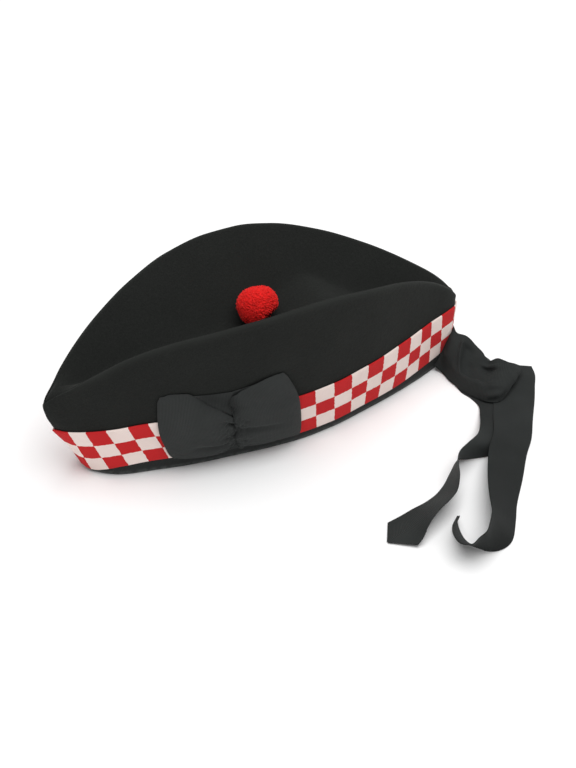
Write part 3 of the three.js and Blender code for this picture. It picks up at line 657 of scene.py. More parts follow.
def felt_wave(share, rise):
    """The hand-shaped unevenness of the felt, in millimetres."""
    wave = 0.0
    for height, along, up, start, again, second_start in FELT_WAVES:
        slanted = np.sin(along * share + up * rise + start)
        wave = wave + height * slanted * np.sin(again * rise + second_start)
    away_from_seams = np.clip(share / STILL_AT_SEAMS, 0, 1) * np.clip((1 - share) / STILL_AT_SEAMS, 0, 1)
    return wave * away_from_seams * np.clip(rise / STILL_AT_RIM, 0, 1)


def wall_point(share, rise):
    """The outer face of the left side panel, from the rim (rise 0) to the ridge (rise 1)."""
    half = lerp(CAP["rim_half"](share), CAP["ridge_half"](share), rise)
    turned_in = np.maximum(0, (rise - NOSE_TUCK_FROM) / (1 - NOSE_TUCK_FROM)) ** 2
    half = half * (1 - NOSE_TUCK * turned_in * soft_step(*NOSE_TUCK_SHARES, share))
    swell = WALL_SWELL * 4 * rise * (1 - rise) * np.minimum(1, half / SWELL_FULL_AT)
    up = np.maximum(0, (rise - NOSE_FROM_RISE) / (1 - NOSE_FROM_RISE))
    nose = NOSE_SWELL * SLANTED_HILL * up * up * (1 - up) * np.maximum(0, 1 - share / NOSE_SHARE) ** 2
    x = lerp(CAP["rim_x"](share), CAP["ridge_x"](share), rise) - nose
    y = -half - swell - felt_wave(share, rise)
    z = CAP["ridge_z"](share) * rise
    return np.stack(np.broadcast_arrays(x, y, z), axis=-1)


def wall_normal(share, rise):
    """The outward direction of the left side panel."""
    step = 0.002
    along = wall_point(np.minimum(1, share + step), rise) - wall_point(np.maximum(0, share - step), rise)
    up = wall_point(share, rise + step) - wall_point(share, rise - step)
    return unit(np.cross(along, up))


def off_wall(share, rise, distance):
    """A point at a distance from the left side panel's face, mitred on the two seams."""
    share, rise, distance = np.broadcast_arrays(*(np.asarray(v, float) for v in (share, rise, distance)))
    normal = wall_normal(share, rise)
    level = unit(normal * (1.0, 0.0, 1.0))
    mitre = level / np.maximum(np.sum(normal * level, axis=-1, keepdims=True), LEAST_MITRE)
    on_seam = ((share <= 0) | (share >= 1))[..., None]
    point = wall_point(share, rise) + np.where(on_seam, mitre, normal) * distance[..., None]
    point[..., 1] = np.where(on_seam[..., 0], 0.0, np.minimum(point[..., 1], -CLEARANCE / 2))
    return point


def at_height(share, z, distance):
    """The same at a height above the rim, in millimetres."""
    return off_wall(share, np.asarray(z, float) / CAP["ridge_z"](share), distance)


def cap_shares(count):
    """Shares from the front seam to the back seam, closer together near both."""
    even = np.linspace(0, 1, count)
    return lerp(even, 0.5 - 0.5 * np.cos(math.pi * even), CROWDING)


def round_the_cap(section_at, count):
    """Sections along the left wall and back along the right one, as one ring."""
    shares = cap_shares(count)
    left = section_at(shares)
    right = left[1:-1][::-1] * (1.0, -1.0, 1.0)
    return np.concatenate([left, right]), shares


# Meshes


def add_piece(name, points, faces, uv=None):
    """A new mesh object from points in the cap's drawing, with an optional place on the cloth."""
    mesh = bpy.data.meshes.new(name)
    mesh.from_pydata(((points + SHIFT) * MM).tolist(), [], np.asarray(faces).tolist())
    if uv is not None:
        layer = mesh.uv_layers.new(name="cloth")
        corner = np.zeros(len(mesh.loops), np.int32)
        mesh.loops.foreach_get("vertex_index", corner)
        layer.data.foreach_set("uv", uv[corner].astype(np.float32).ravel())
    mesh.shade_smooth()
    mesh.validate()
    piece = bpy.data.objects.new(name, mesh)
    bpy.context.scene.collection.objects.link(piece)
    return piece


def sheet_normals(grid, ring=False):
    """The directions at right angles to a sheet, from its neighbouring points."""
    if ring:
        along = np.roll(grid, -1, axis=0) - np.roll(grid, 1, axis=0)
    else:
        along = np.gradient(grid, axis=0)
    return unit(np.cross(along, np.gradient(grid, axis=1)))


def roll_edges(grid, normal, keep, uv, axis, reach):
    """Adds the rows that round a sheet's two edges along one axis."""
    grid, normal, keep, uv = (np.moveaxis(v, axis, 0) for v in (grid, normal, keep, uv))
    start_out = unit(grid[0] - grid[1])
    end_out = unit(grid[-1] - grid[-2])
    before = [(grid[0] + start_out * reach * far, keep[0] * thick) for far, thick in EDGE_ROLL][::-1]
    after = [(grid[-1] + end_out * reach * far, keep[-1] * thick) for far, thick in EDGE_ROLL]
    count = len(EDGE_ROLL)
    grid = np.concatenate([np.array([p for p, _ in before]), grid, np.array([p for p, _ in after])])
    keep = np.concatenate([np.array([k for _, k in before]), keep, np.array([k for _, k in after])])
    normal = np.concatenate([normal[:1].repeat(count, 0), normal, normal[-1:].repeat(count, 0)])
    uv = np.concatenate([uv[:1].repeat(count, 0), uv, uv[-1:].repeat(count, 0)])
    return tuple(np.moveaxis(v, 0, axis) for v in (grid, normal, keep, uv))


def cloth_mesh(grid, thickness, ring=False, uv=None):
    """Points, faces and cloth places of a closed sheet round a grid of points, with rounded edges."""
    grid = np.asarray(grid, float)
    uv = np.zeros(grid.shape[:2] + (2,)) if uv is None else np.asarray(uv, float)
    keep = np.broadcast_to(np.asarray(thickness, float), grid.shape[:2]).copy()
    normal = sheet_normals(grid, ring)
    reach = keep.max() / 2
    grid, normal, keep, uv = roll_edges(grid, normal, keep, uv, 1, reach)
    if not ring:
        grid, normal, keep, uv = roll_edges(grid, normal, keep, uv, 0, reach)
    rows, across = grid.shape[:2]
    front = grid + normal * keep[..., None] / 2
    back = grid - normal * keep[..., None] / 2
    number = np.arange(rows * across).reshape(rows, across)
    hidden = number + rows * across
    hidden[:, 0] = number[:, 0]
    hidden[:, -1] = number[:, -1]
    if not ring:
        hidden[0] = number[0]
        hidden[-1] = number[-1]
    i = np.arange(rows if ring else rows - 1)[:, None]
    j = np.arange(across - 1)[None, :]
    after = (i + 1) % rows
    outside = np.stack([number[i, j], number[after, j], number[after, j + 1], number[i, j + 1]], axis=-1)
    inside = np.stack([hidden[i, j], hidden[i, j + 1], hidden[after, j + 1], hidden[after, j]], axis=-1)
    faces = np.concatenate([outside.reshape(-1, 4), inside.reshape(-1, 4)])
    points = np.concatenate([front.reshape(-1, 3), back.reshape(-1, 3)])
    places = np.concatenate([uv.reshape(-1, 2), uv.reshape(-1, 2)])
    used, faces = np.unique(faces, return_inverse=True)
    return points[used], faces.reshape(-1, 4), places[used]


def cloth_piece(name, grid, thickness, ring=False, uv=None):
    """A closed sheet of cloth as a new piece."""
    return add_piece(name, *cloth_mesh(grid, thickness, ring, uv))


def joined(meshes):
    """Several meshes of points, faces and cloth places as one."""
    points, faces, places, count = [], [], [], 0
    for mesh_points, mesh_faces, mesh_places in meshes:
        points.append(mesh_points)
        faces.append(np.asarray(mesh_faces) + count)
        places.append(mesh_places)
        count += len(mesh_points)
    return np.concatenate(points), np.concatenate(faces), np.concatenate(places)


def running_length(points, axis=0):
    """The length along rows of points, from the first."""
    step = np.linalg.norm(np.diff(points, axis=axis), axis=-1)
    start = np.zeros_like(np.take(step, [0], axis))
    return np.concatenate([start, np.cumsum(step, axis=axis)], axis=axis)


def ribbon_places(grid):
    """Millimetres across and along a ribbon, as its place on the cloth."""
    along = running_length(grid).mean(axis=1)
    across = running_length(grid, axis=1)
    return np.stack([across, np.broadcast_to(along[:, None], across.shape)], axis=-1)


def length_along(grid, across):
    """The length of a sheet along one line of its points, from millimetres to metres."""
    return float(running_length(grid[:, across:across + 1])[-1, 0]) * MM


def near_line(piece, line):
    """How far each point of a piece is from a line of points, and which share of the line is nearest."""
    tree = kdtree.KDTree(len(line))
    for index, point in enumerate(line):
        tree.insert(point, index)
    tree.balance()
    found = [tree.find(vertex.co) for vertex in piece.data.vertices]
    away = np.array([distance for _, _, distance in found])
    share = np.array([index for _, index, _ in found]) / (len(line) - 1)
    return away, share


def write_values(piece, name, values):
    """One value for each point of a piece, for its material to read."""
    attribute = piece.data.attributes.new(name, "FLOAT", "POINT")
    attribute.data.foreach_set("value", np.asarray(values, np.float32))


def finish_piece(piece, material, slot, *nodes):
    """Gives a piece its material and its body and hides the solids that it stands for. The slot is not used.
    """
    piece.data.materials.clear()
    piece.data.materials.append(material)
    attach(piece, "root")
    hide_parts(*nodes)
    return piece


# Materials


def rgba(colour, brighter=1.0):
    """A colour with its alpha, brightened or darkened."""
    return tuple(min(1.0, channel * brighter) for channel in colour) + (1.0,)


class Finish:
    """A new material, and the kinds of node that the cloths here are made of."""

    def __init__(self, name):
        self.material = bpy.data.materials.new(name)
        self.material.use_nodes = True
        self.tree = self.material.node_tree
        self.shader = self.tree.nodes["Principled BSDF"]
        self.coords = self.add("ShaderNodeTexCoord").outputs

    def fill(self, owner, values):
        """Gives a node's inputs their values, or the outputs that lead to them."""
        for key, value in values.items():
            if isinstance(value, bpy.types.NodeSocket):
                self.tree.links.new(value, owner.inputs[key])
            else:
                owner.inputs[key].default_value = value

    def add(self, kind, values=None, **settings):
        """A new node with some of its settings and inputs set."""
        made = self.tree.nodes.new(kind)
        for key, value in settings.items():
            setattr(made, key, value)
        self.fill(made, values or {})
        return made

    def noise(self, **values):
        """Noise that is fixed to the piece."""
        return self.add("ShaderNodeTexNoise", {"Vector": self.coords["Object"], **values}).outputs["Fac"]

    def value(self, name):
        """A value that was written on the piece's points."""
        return self.add("ShaderNodeAttribute", attribute_name=name).outputs["Fac"]

    def cloth_place(self):
        """The two numbers that mark a place on the cloth."""
        return self.add("ShaderNodeSeparateXYZ", {0: self.coords["UV"]}).outputs[:2]

    def maths(self, operation, *terms):
        """A calculation with numbers and outputs."""
        return self.add("ShaderNodeMath", dict(enumerate(terms)), operation=operation).outputs[0]

    def wave(self, place, turns, start=0.0):
        """A sine wave with a number of turns to each unit of a place, from -1 to 1."""
        return self.maths("SINE", self.maths("MULTIPLY_ADD", place, 2 * math.pi * turns, start))

    def to_share(self, wave):
        """A wave from -1 to 1 as a share from 0 to 1."""
        return self.maths("MULTIPLY_ADD", wave, 0.5, 0.5)

    def spread(self, source, low, high):
        """Stretches an output between two values to the range from 0 to 1."""
        values = {"Value": source, "From Min": low, "From Max": high}
        return self.add("ShaderNodeMapRange", values).outputs["Result"]

    def between(self, factor, first, second):
        """A colour between two colours or outputs."""
        values = {"Factor": factor, "A": first, "B": second}
        return self.add("ShaderNodeMix", values, data_type="RGBA").outputs["Result"]

    def shades(self, factor, colour, dark, pale=1.0):
        """A colour between a darker and a paler shade of one."""
        return self.between(factor, rgba(colour, dark), rgba(colour, pale))

    def times(self, colour, shade):
        """A colour darkened by another."""
        values = {"Factor": 1.0, "A": colour, "B": shade}
        return self.add("ShaderNodeMix", values, data_type="RGBA", blend_type="MULTIPLY").outputs["Result"]

    def cover(self, colour, plain):
        """Leads a colour to the shader and sets its plain values."""
        self.fill(self.shader, {"Base Color": colour, **plain})

    def emboss(self, height, strength, depth):
        """Raises the surface by an output, by a depth in metres at most."""
        values = {"Height": height, "Strength": strength, "Distance": depth}
        self.fill(self.shader, {"Normal": self.add("ShaderNodeBump", values).outputs["Normal"]})

    def roughen(self, source, least, most):
        """Makes the surface rougher with an output."""
        values = {"Value": source, "To Min": least, "To Max": most}
        self.fill(self.shader, {"Roughness": self.add("ShaderNodeMapRange", values).outputs["Result"]})


def material_for(name, dress, *colours):
    """The material of a name, made and dressed when it is first asked for."""
    material = bpy.data.materials.get(name)
    if material is None:
        finish = Finish(name)
        dress(finish, *colours)
        material = finish.material
    return material


def felt_finish(finish, colour):
    """Milled black wool felt: matted fibres, a soft nap, a little uneven dye and a painted highlight along
    the ridge.
    """
    fibre = finish.noise(Scale=1500.0, Detail=5.0, Roughness=0.65, Distortion=0.6)
    matt = finish.noise(Scale=420.0, Detail=4.0, Roughness=0.6)
    dye = finish.noise(Scale=28.0, Detail=3.0)
    nap = finish.shades(finish.spread(fibre, low=0.35, high=0.7), colour, dark=0.72, pale=1.38)
    # A painted highlight along the ridge, where the felt's fuzz catches the light, read from the points
    pale_edge = finish.between(finish.value("edge_wear_and_highlight"), nap, rgba(colour, RIDGE_HIGHLIGHT_PALE))
    patchy = finish.shades(finish.spread(dye, low=0.3, high=0.7), (1.0, 1.0, 1.0), dark=0.86)
    plain = {"Specular IOR Level": 0.12, "Sheen Weight": 0.06, "Sheen Roughness": 0.5,
             "Sheen Tint": (0.62, 0.64, 0.6, 1.0)}
    finish.cover(finish.times(pale_edge, patchy), plain)
    finish.emboss(finish.maths("MULTIPLY_ADD", fibre, FIBRE_HEIGHT, matt), strength=0.55, depth=0.0006)
    finish.roughen(matt, least=0.86, most=1.0)


def ribbon_finish(finish, colour):
    """Ribbed black ribbon: fine cross ribs, firm edges, a dull sheen, and the painted light and shade and
    the pale edge written on its points.
    """
    across, along = finish.cloth_place()
    wander = finish.noise(Scale=260.0, Detail=3.0)
    cloud = finish.noise(Scale=60.0, Detail=3.0)
    lint = finish.noise(Scale=2200.0, Detail=4.0)
    rib = finish.to_share(finish.wave(along, 1 / RIB_STEP, finish.maths("MULTIPLY", wander, RIB_WANDER)))
    height = finish.maths("MULTIPLY_ADD", finish.wave(across, 1 / THREAD_STEP), THREAD_HEIGHT, rib)
    height = finish.maths("MULTIPLY_ADD", lint, LINT_HEIGHT, height)
    ribbed = finish.shades(rib, colour, dark=0.8, pale=1.16)
    # Paler along the binding's bottom fold: partly worn ribbon, partly a painted highlight
    wear_and_highlight = finish.maths("MULTIPLY", finish.value("edge_wear_and_highlight"), finish.spread(wander, low=0.25, high=0.6))
    pale_edge = finish.between(wear_and_highlight, ribbed, rgba(colour, WEAR_AND_HIGHLIGHT_PALE))
    clouds = finish.spread(cloud, low=0.3, high=0.72)
    clouded = finish.maths("MULTIPLY_ADD", clouds, CLOUD_DEPTH, 1 - CLOUD_DEPTH)
    # The points' fade value is painted light above 0 and painted shade below 0, on the tails and in the
    # bow's recess
    painted_light_and_shade = finish.maths("MULTIPLY", clouded, finish.maths("ADD", finish.value("fade"), 1.0))
    plain = {"Specular IOR Level": 0.05, "Sheen Weight": 0.03, "Sheen Roughness": 0.4,
             "Sheen Tint": (0.75, 0.8, 0.78, 1.0)}
    finish.cover(finish.times(pale_edge, painted_light_and_shade), plain)
    finish.emboss(height, strength=0.5, depth=0.00022)
    finish.roughen(cloud, least=0.56, most=0.74)


def band_finish(finish, red, white):
    """Woven wool dicing: red and white checks with yarn-stepped edges and a ribbed weave."""
    along, across = finish.cloth_place()
    wander = finish.noise(Scale=420.0, Detail=2.0)
    fuzz = finish.noise(Scale=1700.0, Detail=4.0, Roughness=0.6)
    soil = finish.noise(Scale=45.0, Detail=3.0)
    drift = finish.maths("MULTIPLY_ADD", wander, CHECK_DRIFT, -CHECK_DRIFT / 2)
    check = finish.maths("ADD", along, drift)
    row = finish.maths("MINIMUM", finish.maths("ADD", across, drift), CHECK_ROWS - CHECK_EDGE)
    row = finish.maths("MAXIMUM", row, CHECK_EDGE)
    count = finish.maths("ADD", finish.maths("FLOOR", check), finish.maths("FLOOR", row))
    odd = finish.maths("FLOORED_MODULO", count, 2.0)
    threads = finish.maths("MULTIPLY", finish.wave(across, PICKS), finish.wave(along, ENDS))
    weave = finish.to_share(threads)
    red_yarn = finish.shades(weave, red, dark=0.84, pale=1.12)
    white_yarn = finish.shades(weave, white, dark=0.9, pale=1.04)
    soiled = finish.between(finish.spread(soil, low=0.3, high=0.7), BAND_SOIL, (1.0, 1.0, 1.0, 1.0))
    plain = {"Specular IOR Level": 0.1, "Sheen Weight": 0.03, "Sheen Roughness": 0.5}
    finish.cover(finish.times(finish.between(odd, white_yarn, red_yarn), soiled), plain)
    finish.emboss(finish.maths("MULTIPLY_ADD", fuzz, FUZZ_HEIGHT, weave), strength=0.5, depth=0.0003)
    finish.roughen(fuzz, least=0.8, most=0.98)


def wool_finish(finish, colour):
    """Red wool: each strand a little lighter or darker than the next, with painted light on the lower
    strands.
    """
    fibre = finish.noise(Scale=2600.0, Detail=3.0)
    strand = finish.shades(finish.value("strand_shade_and_painted_light"), colour, dark=0.8, pale=1.2)
    twist = finish.between(fibre, WOOL_TWIST, (1.0, 1.0, 1.0, 1.0))
    plain = {"Specular IOR Level": 0.12, "Sheen Weight": 0.3, "Sheen Roughness": 0.45,
             "Sheen Tint": (1.0, 0.35, 0.33, 1.0)}
    finish.cover(finish.times(strand, twist), plain)
    finish.emboss(fibre, strength=0.3, depth=0.0002)
    finish.roughen(fibre, least=0.82, most=0.98)


def floor_finish(finish, colour):
    """Plain pale paper."""
    grain = finish.noise(Scale=300.0, Detail=3.0)
    finish.cover(finish.shades(grain, colour, dark=0.995, pale=1.005),
                 {"Roughness": 0.9, "Specular IOR Level": 0.1})


# The stage


def add_area_light(name, place, target, size, power):
    """A square soft light that looks at a point."""
    light = bpy.data.lights.new(name, "AREA")
    light.size = size
    light.energy = power
    lamp = bpy.data.objects.new(name, light)
    lamp.location = place
    lamp.rotation_mode = "QUATERNION"
    lamp.rotation_quaternion = (Vector(target) - Vector(place)).to_track_quat("-Z", "Y")
    bpy.context.scene.collection.objects.link(lamp)
    return lamp


def add_stage(colours):
    """The pale floor, the soft light and the camera."""
    scene = bpy.context.scene
    bpy.ops.object.select_all(action="DESELECT")
    bpy.ops.mesh.primitive_plane_add(size=FLOOR_SIZE, location=(0.0, 0.0, 0.0))
    floor = bpy.context.active_object
    floor.name = "floor"
    floor.data.materials.append(material_for("pale_paper", floor_finish, colours.floor))
    world = bpy.data.worlds.new("studio")
    scene.world = world
    world.use_nodes = True
    background = world.node_tree.nodes["Background"]
    background.inputs["Color"].default_value = (1.0, 1.0, 1.0, 1.0)
    background.inputs["Strength"].default_value = SKY_STRENGTH
    add_area_light("overhead", LIGHT_PLACE, LIGHT_TARGET, LIGHT_SIZE, LIGHT_POWER)
    camera = bpy.data.cameras.new("photograph")
    camera.lens = CAMERA_LENS
    camera.sensor_width = CAMERA_SENSOR
    camera.sensor_fit = "AUTO"
    camera.clip_start = CAMERA_NEAR
    camera.clip_end = CAMERA_FAR
    eye = bpy.data.objects.new("photograph", camera)
    azimuth = math.radians(CAMERA_AZIMUTH)
    elevation = math.radians(CAMERA_ELEVATION)
    level = math.cos(elevation)
    back = Vector((math.sin(azimuth) * level, -math.cos(azimuth) * level, math.sin(elevation)))
    eye.location = CAMERA_PLACE
    eye.rotation_mode = "QUATERNION"
    eye.rotation_quaternion = (-back).to_track_quat("-Z", "Y")
    scene.collection.objects.link(eye)
    scene.camera = eye
    scene.view_settings.view_transform = "Standard"
    scene.view_settings.look = "None"


# The ribbon's tails and knot


def tail_grid(rest, free, point):
    """A ribbon between its resting edge and its free edge, with a square or pointed end."""
    last = len(rest) - 1
    at = np.linspace(0, 1, last * TAIL_PER_ROW + 1)
    low = thread_curve(rest, at)
    high = thread_curve(free, at)
    heading = unit(np.gradient(low + high, axis=0) * (1.0, 1.0, 0.0))
    w = np.linspace(*TAIL_SPAN, TAIL_ACROSS)
    grid = lerp(low[:, None], high[:, None], w[None, :, None])
    reach = point * (1 - np.abs(2 * w - 1))
    late = soft_step(1 - TAIL_POINT_ROWS / last, 1, at)
    grid = grid + heading[:, None] * (late[:, None] * reach[None])[..., None]
    length = running_length(grid.mean(axis=1)[:, None])
    bend = 0.0
    for (height, step, start), form in ((TAIL_RIPPLE, np.sin(math.pi * w)), (TAIL_CURL, (2 * w - 1) ** 2)):
        bend = bend + height * form[None] * np.sin(length / step + start)
    return grid + sheet_normals(grid) * bend[..., None]


def above_floor(points, least):
    """Keeps cloth on top of the floor."""
    points = points.copy()
    points[..., 2] = np.maximum(points[..., 2], least)
    return points


def tail_piece(name, rest, free, point, sizes):
    """One tail and the line down its middle, in metres."""
    thickness = sizes.ribbon / MM
    grid = above_floor(tail_grid(rest, free, point), thickness / 2 + FLOOR_GAP)
    piece = cloth_piece(name, grid, thickness, uv=ribbon_places(grid))
    middle = (grid[:, grid.shape[1] // 2 - 1] + grid[:, grid.shape[1] // 2]) / 2
    return piece, (middle + SHIFT) * MM


def quilt(control, rows, across):
    """A smooth surface through a small grid of points."""
    control = np.asarray(control, float)
    at = np.linspace(0, 1, rows)
    lines = np.stack([thread_curve(control[:, k], at) for k in range(control.shape[1])], axis=1)
    t = np.linspace(0, 1, across)
    return np.stack([thread_curve(line, t) for line in lines])


def wrinkles(grid, height, size, offset):
    """Small folds pressed into a surface away from its first row, in millimetres along its normals."""
    depth = noise_at(grid.reshape(-1, 3) / size, offset).reshape(grid.shape[:2])
    free = soft_step(*WRINKLES_FROM, np.linspace(0, 1, len(grid)))[:, None]
    return grid + sheet_normals(grid) * (height * free * depth)[..., None]


def lead_creases(row, across):
    """How far the knot's ribbon stands out at its pleat, roll, nip and fan of folds, in millimetres."""
    pleat_row = lerp(*PLEAT_ROWS, (across - PLEAT_START) / PLEAT_LENGTH)
    off = (row - pleat_row) * LEAD_ROW_STEP
    pleat = sum(height * hill(off - place, width) for height, place, width in PLEAT_HILLS)
    pleat = pleat * within(PLEAT_ENDS, across)
    roll = ROLL_HEIGHT * hill((across - ROLL_ACROSS) * LEAD_WIDTH, ROLL_WIDTH) * within(ROLL_ENDS, row)
    off = across - NIP_ACROSS - NIP_SLANT * (row - NIP_ROW)
    nip = sum(height * hill((off - place) * LEAD_WIDTH, width) for height, place, width in NIP_HILLS)
    nip = nip * hill(row - NIP_ROW, NIP_REACH)
    fan = np.cos(2 * math.pi * (FAN_ACROSS * across + FAN_ALONG * (row - FAN_ROW))) * within(FAN_ENDS, row)
    return pleat + roll + nip + FAN_HEIGHT * fan


def lead_sheet(start, rows, points, mirrored=False):
    """An end of the ribbon from the cap's back to where it is nipped."""
    share, height = np.array(start).T
    first = at_height(share, height, KNOT_SEAT_LIFT)
    if mirrored:
        first = first * (1.0, -1.0, 1.0)
    return quilt(np.concatenate([first[None], np.array(rows)]), *points)


def knot_sheets(thickness):
    """The folded ribbon of the knot, layer by layer."""
    lead = lead_sheet(LEAD_START, LEAD_ROWS, LEAD_POINTS)
    row = np.linspace(0, len(LEAD_ROWS), LEAD_POINTS[0])[:, None]
    across = np.linspace(0, 1, LEAD_POINTS[1])[None]
    lead = wrinkles(lead - sheet_normals(lead) * lead_creases(row, across)[..., None], *LEAD_WRINKLES)
    back = wrinkles(lead_sheet(BACK_START, BACK_ROWS, BACK_POINTS, mirrored=True), *BACK_WRINKLES)
    under = quilt(UNDER_ROWS, *UNDER_POINTS)
    sheets = [above_floor(sheet, thickness / 2 + FLOOR_GAP) for sheet in (lead[:, ::-1], back, under)]
    return joined([cloth_mesh(sheet, thickness, uv=ribbon_places(sheet)) for sheet in sheets])


def add_tails_and_knot(sizes, colours):
    """The two free ends of the ribbon and the knot that they leave."""
    ribbon = material_for("black_ribbon", ribbon_finish, colours.ribbon)
    knot_piece = add_piece("ribbon_knot_folds", *knot_sheets(sizes.ribbon / MM))
    finish_piece(knot_piece, ribbon, "ribbon", "ribbon_knot")
    for name, rest, free, point, fade, node_name, held in (
        ("tail_long_ribbon", TAIL_LONG_REST, TAIL_LONG_FREE, TAIL_LONG_POINT, TAIL_LONG_PAINTED_LIGHT,
         "tail_long", [knot_piece]),
        ("tail_short_ribbon", TAIL_SHORT_REST, TAIL_SHORT_FREE, TAIL_SHORT_POINT, TAIL_SHORT_PAINTED_LIGHT,
         "tail_short", []),
    ):
        piece, middle = tail_piece(name, rest, free, point, sizes)
        # Painted light and shade along the tail, written as its fade value
        write_values(piece, "fade", smooth_column(*np.array(fade).T)(near_line(piece, middle)[1]))
        finish_piece(piece, ribbon, "ribbon", node_name)
        length = float(running_length(middle[:, None])[-1, 0])


# The felt cap


def valley_rise(across):
    """How far the top panel has climbed from the valley's floor to the ridge."""
    rounded = np.hypot(across, VALLEY_ROUNDING) - VALLEY_ROUNDING
    return rounded / (math.hypot(1, VALLEY_ROUNDING) - VALLEY_ROUNDING)


def crown_surface():
    """The middle of the top panel's felt."""
    shares = lerp(*CROWN_SHARES, cap_shares(CROWN_ALONG))[:, None]
    across = np.linspace(-1, 1, CROWN_ACROSS)[None]
    edge = at_height(shares, CAP["ridge_z"](shares) - CROWN_BELOW_RIDGE, -CROWN_INSET)
    valley = np.minimum(CAP["valley_z"](shares), edge[..., 2])
    height, along, sideways = CROWN_WAVE
    wave = height * np.sin(along * shares + sideways * across)
    wave = wave * np.sin(math.pi * (across + 1) / 2) ** 2 * np.abs(across)
    slope = lerp(valley, edge[..., 2], valley_rise(np.abs(across))) + wave
    raised = RAISED(shares)
    z = (slope + raised + np.hypot(slope - raised, RAISED_BLEND)) / 2
    z = lerp(slope, z, within(RAISED_SHARES, shares))
    at_ends = sum(soft_step(*ends, shares) for ends in CROWN_END_SHARES)
    z = z + NOSE_CROWN * at_ends * (1 - across * across)
    x = np.broadcast_to(edge[..., 0], z.shape)
    y = across * np.abs(edge[..., 1])
    return np.stack([x, y, z], axis=-1)[:, ::-1]


def side_panel(thickness, welt):
    """The left side panel's points, and how thick its felt is at each."""
    shares = cap_shares(PANEL_ALONG)[:, None]
    top = 1 - (thickness + welt) / 2 / CAP["ridge_z"](shares)
    rise = np.concatenate([np.linspace(*part) for part in PANEL_RISES])[None] * top
    below_ridge = (1 - rise) * CAP["ridge_z"](shares)
    thick = thickness + welt * hill(below_ridge, WELT_DEPTH) * within(WELT_SHARES, shares)
    return off_wall(shares, rise, -thick / 2), thick


def add_felt(sizes, colours):
    """The two side panels and the sunk top panel."""
    felt = material_for("black_felt", felt_finish, colours.felt)
    grid, thick = side_panel(sizes.felt / MM, sizes.ridge_welt / MM)
    points, faces, places = cloth_mesh(grid, thick, uv=ribbon_places(grid))
    points = above_floor(points, PANEL_ABOVE_FLOOR)
    points[:, 1] = np.minimum(points[:, 1], -SEAM_GAP)
    left = add_piece("side_left_felt", points, faces, places)
    right = add_piece("side_right_felt", points * (1.0, -1.0, 1.0), faces[:, ::-1], places)
    # A painted highlight along each panel's ridge, where the felt's fuzz catches the light
    ridge = wall_point(np.linspace(0, 1, RIDGE_POINTS), 1.0)
    for panel, mirror in ((left, 1.0), (right, -1.0)):
        away, share = near_line(panel, (ridge * (1.0, mirror, 1.0) + SHIFT) * MM)
        write_values(panel, "edge_wear_and_highlight", hill(away / MM, RIDGE_HIGHLIGHT_SPREAD) * soft_step(*RIDGE_HIGHLIGHT_SHARES, share))
    finish_piece(left, felt, "felt", "side_left")
    finish_piece(right, felt, "felt", "side_right")
    crown_grid = crown_surface()
    crown = cloth_piece("crown_top_felt", crown_grid, sizes.crown_felt / MM, uv=ribbon_places(crown_grid))
    finish_piece(crown, felt, "felt", "crown_top")


def add_band(sizes, colours):
    """The woven band of red and white checks."""
    thickness = sizes.band / MM
    rows = np.linspace(0, 1, BAND_ACROSS)[None]
    inset = thickness / 2

    def section_at(shares):
        low = CAP["low"](shares)[:, None] + inset
        high = CAP["high"](shares)[:, None] - inset
        return at_height(shares[:, None], lerp(low, high, rows), CLEARANCE + inset)

    grid, shares = round_the_cap(section_at, RING_ALONG)
    left = lerp(CHECK_BELOW(shares)[:, None], CHECK_ABOVE(shares)[:, None], rows)
    right = 2 * CHECK_AT_FRONT - left[1:-1][::-1]
    check = np.concatenate([left, right])
    check[len(shares):] += 2 * (CHECK_ABOVE(1.0) - CHECK_AT_FRONT)
    row = np.broadcast_to(rows * CHECK_ROWS, check.shape)
    band = cloth_piece("diced_band_weave", grid, thickness, ring=True, uv=np.stack([check, row], axis=-1))
    dicing = material_for("diced_wool", band_finish, colours.check_red, colours.check_white)
    finish_piece(band, dicing, "band", "diced_band")
    length = length_along(grid, BAND_ACROSS // 2)


def add_binding(sizes, colours):
    """The ribbon that is folded over the rim."""
    thickness = sizes.ribbon / MM
    outside = CLEARANCE + thickness / 2
    inside = -(sizes.felt / MM + CLEARANCE + thickness / 2)
    bottom = thickness / 2
    low = bottom + BINDING_CORNER
    high_inside = BINDING_INSIDE_HEIGHT - thickness / 2
    turn = np.radians(np.linspace(0, 90, BINDING_TURN))

    def section_at(shares):
        lip = CAP["low"](shares) - CLEARANCE - thickness / 2
        places = [(outside, lerp(lip, low, t)) for t in np.linspace(0, 1, BINDING_ACROSS)]
        for side, inwards, angles in ((outside, -1, turn[1:]), (inside, 1, turn[::-1])):
            for angle in angles:
                distance = side + inwards * BINDING_CORNER * (1 - math.cos(angle))
                places.append((distance, low - BINDING_CORNER * math.sin(angle)))
        places += [(inside, lerp(low, high_inside, t)) for t in np.linspace(0, 1, BINDING_ACROSS)[1:]]
        grid = []
        for distance, z in places:
            height = np.broadcast_to(z, shares.shape)
            point = at_height(shares, height, distance)
            point[:, 2] = height
            grid.append(point)
        return np.stack(grid, axis=1)[:, ::-1]

    grid, _ = round_the_cap(section_at, RING_ALONG)
    piece = cloth_piece("edge_binding_ribbon", grid, thickness, ring=True, uv=ribbon_places(grid))
    # Paler along the bottom fold: partly worn ribbon, partly a painted highlight that lifts the floor's
    # contact shadow
    height = np.array([vertex.co.z for vertex in piece.data.vertices]) / MM
    write_values(piece, "edge_wear_and_highlight", hill(height - BINDING_PALE_AT, BINDING_PALE_SPREAD))
    ribbon = material_for("black_ribbon", ribbon_finish, colours.ribbon)
    finish_piece(piece, ribbon, "ribbon", "edge_binding")
    length = length_along(grid, 0)
    width = float(running_length(grid, axis=1)[:, -1].mean()) * MM


# The bow and the toorie


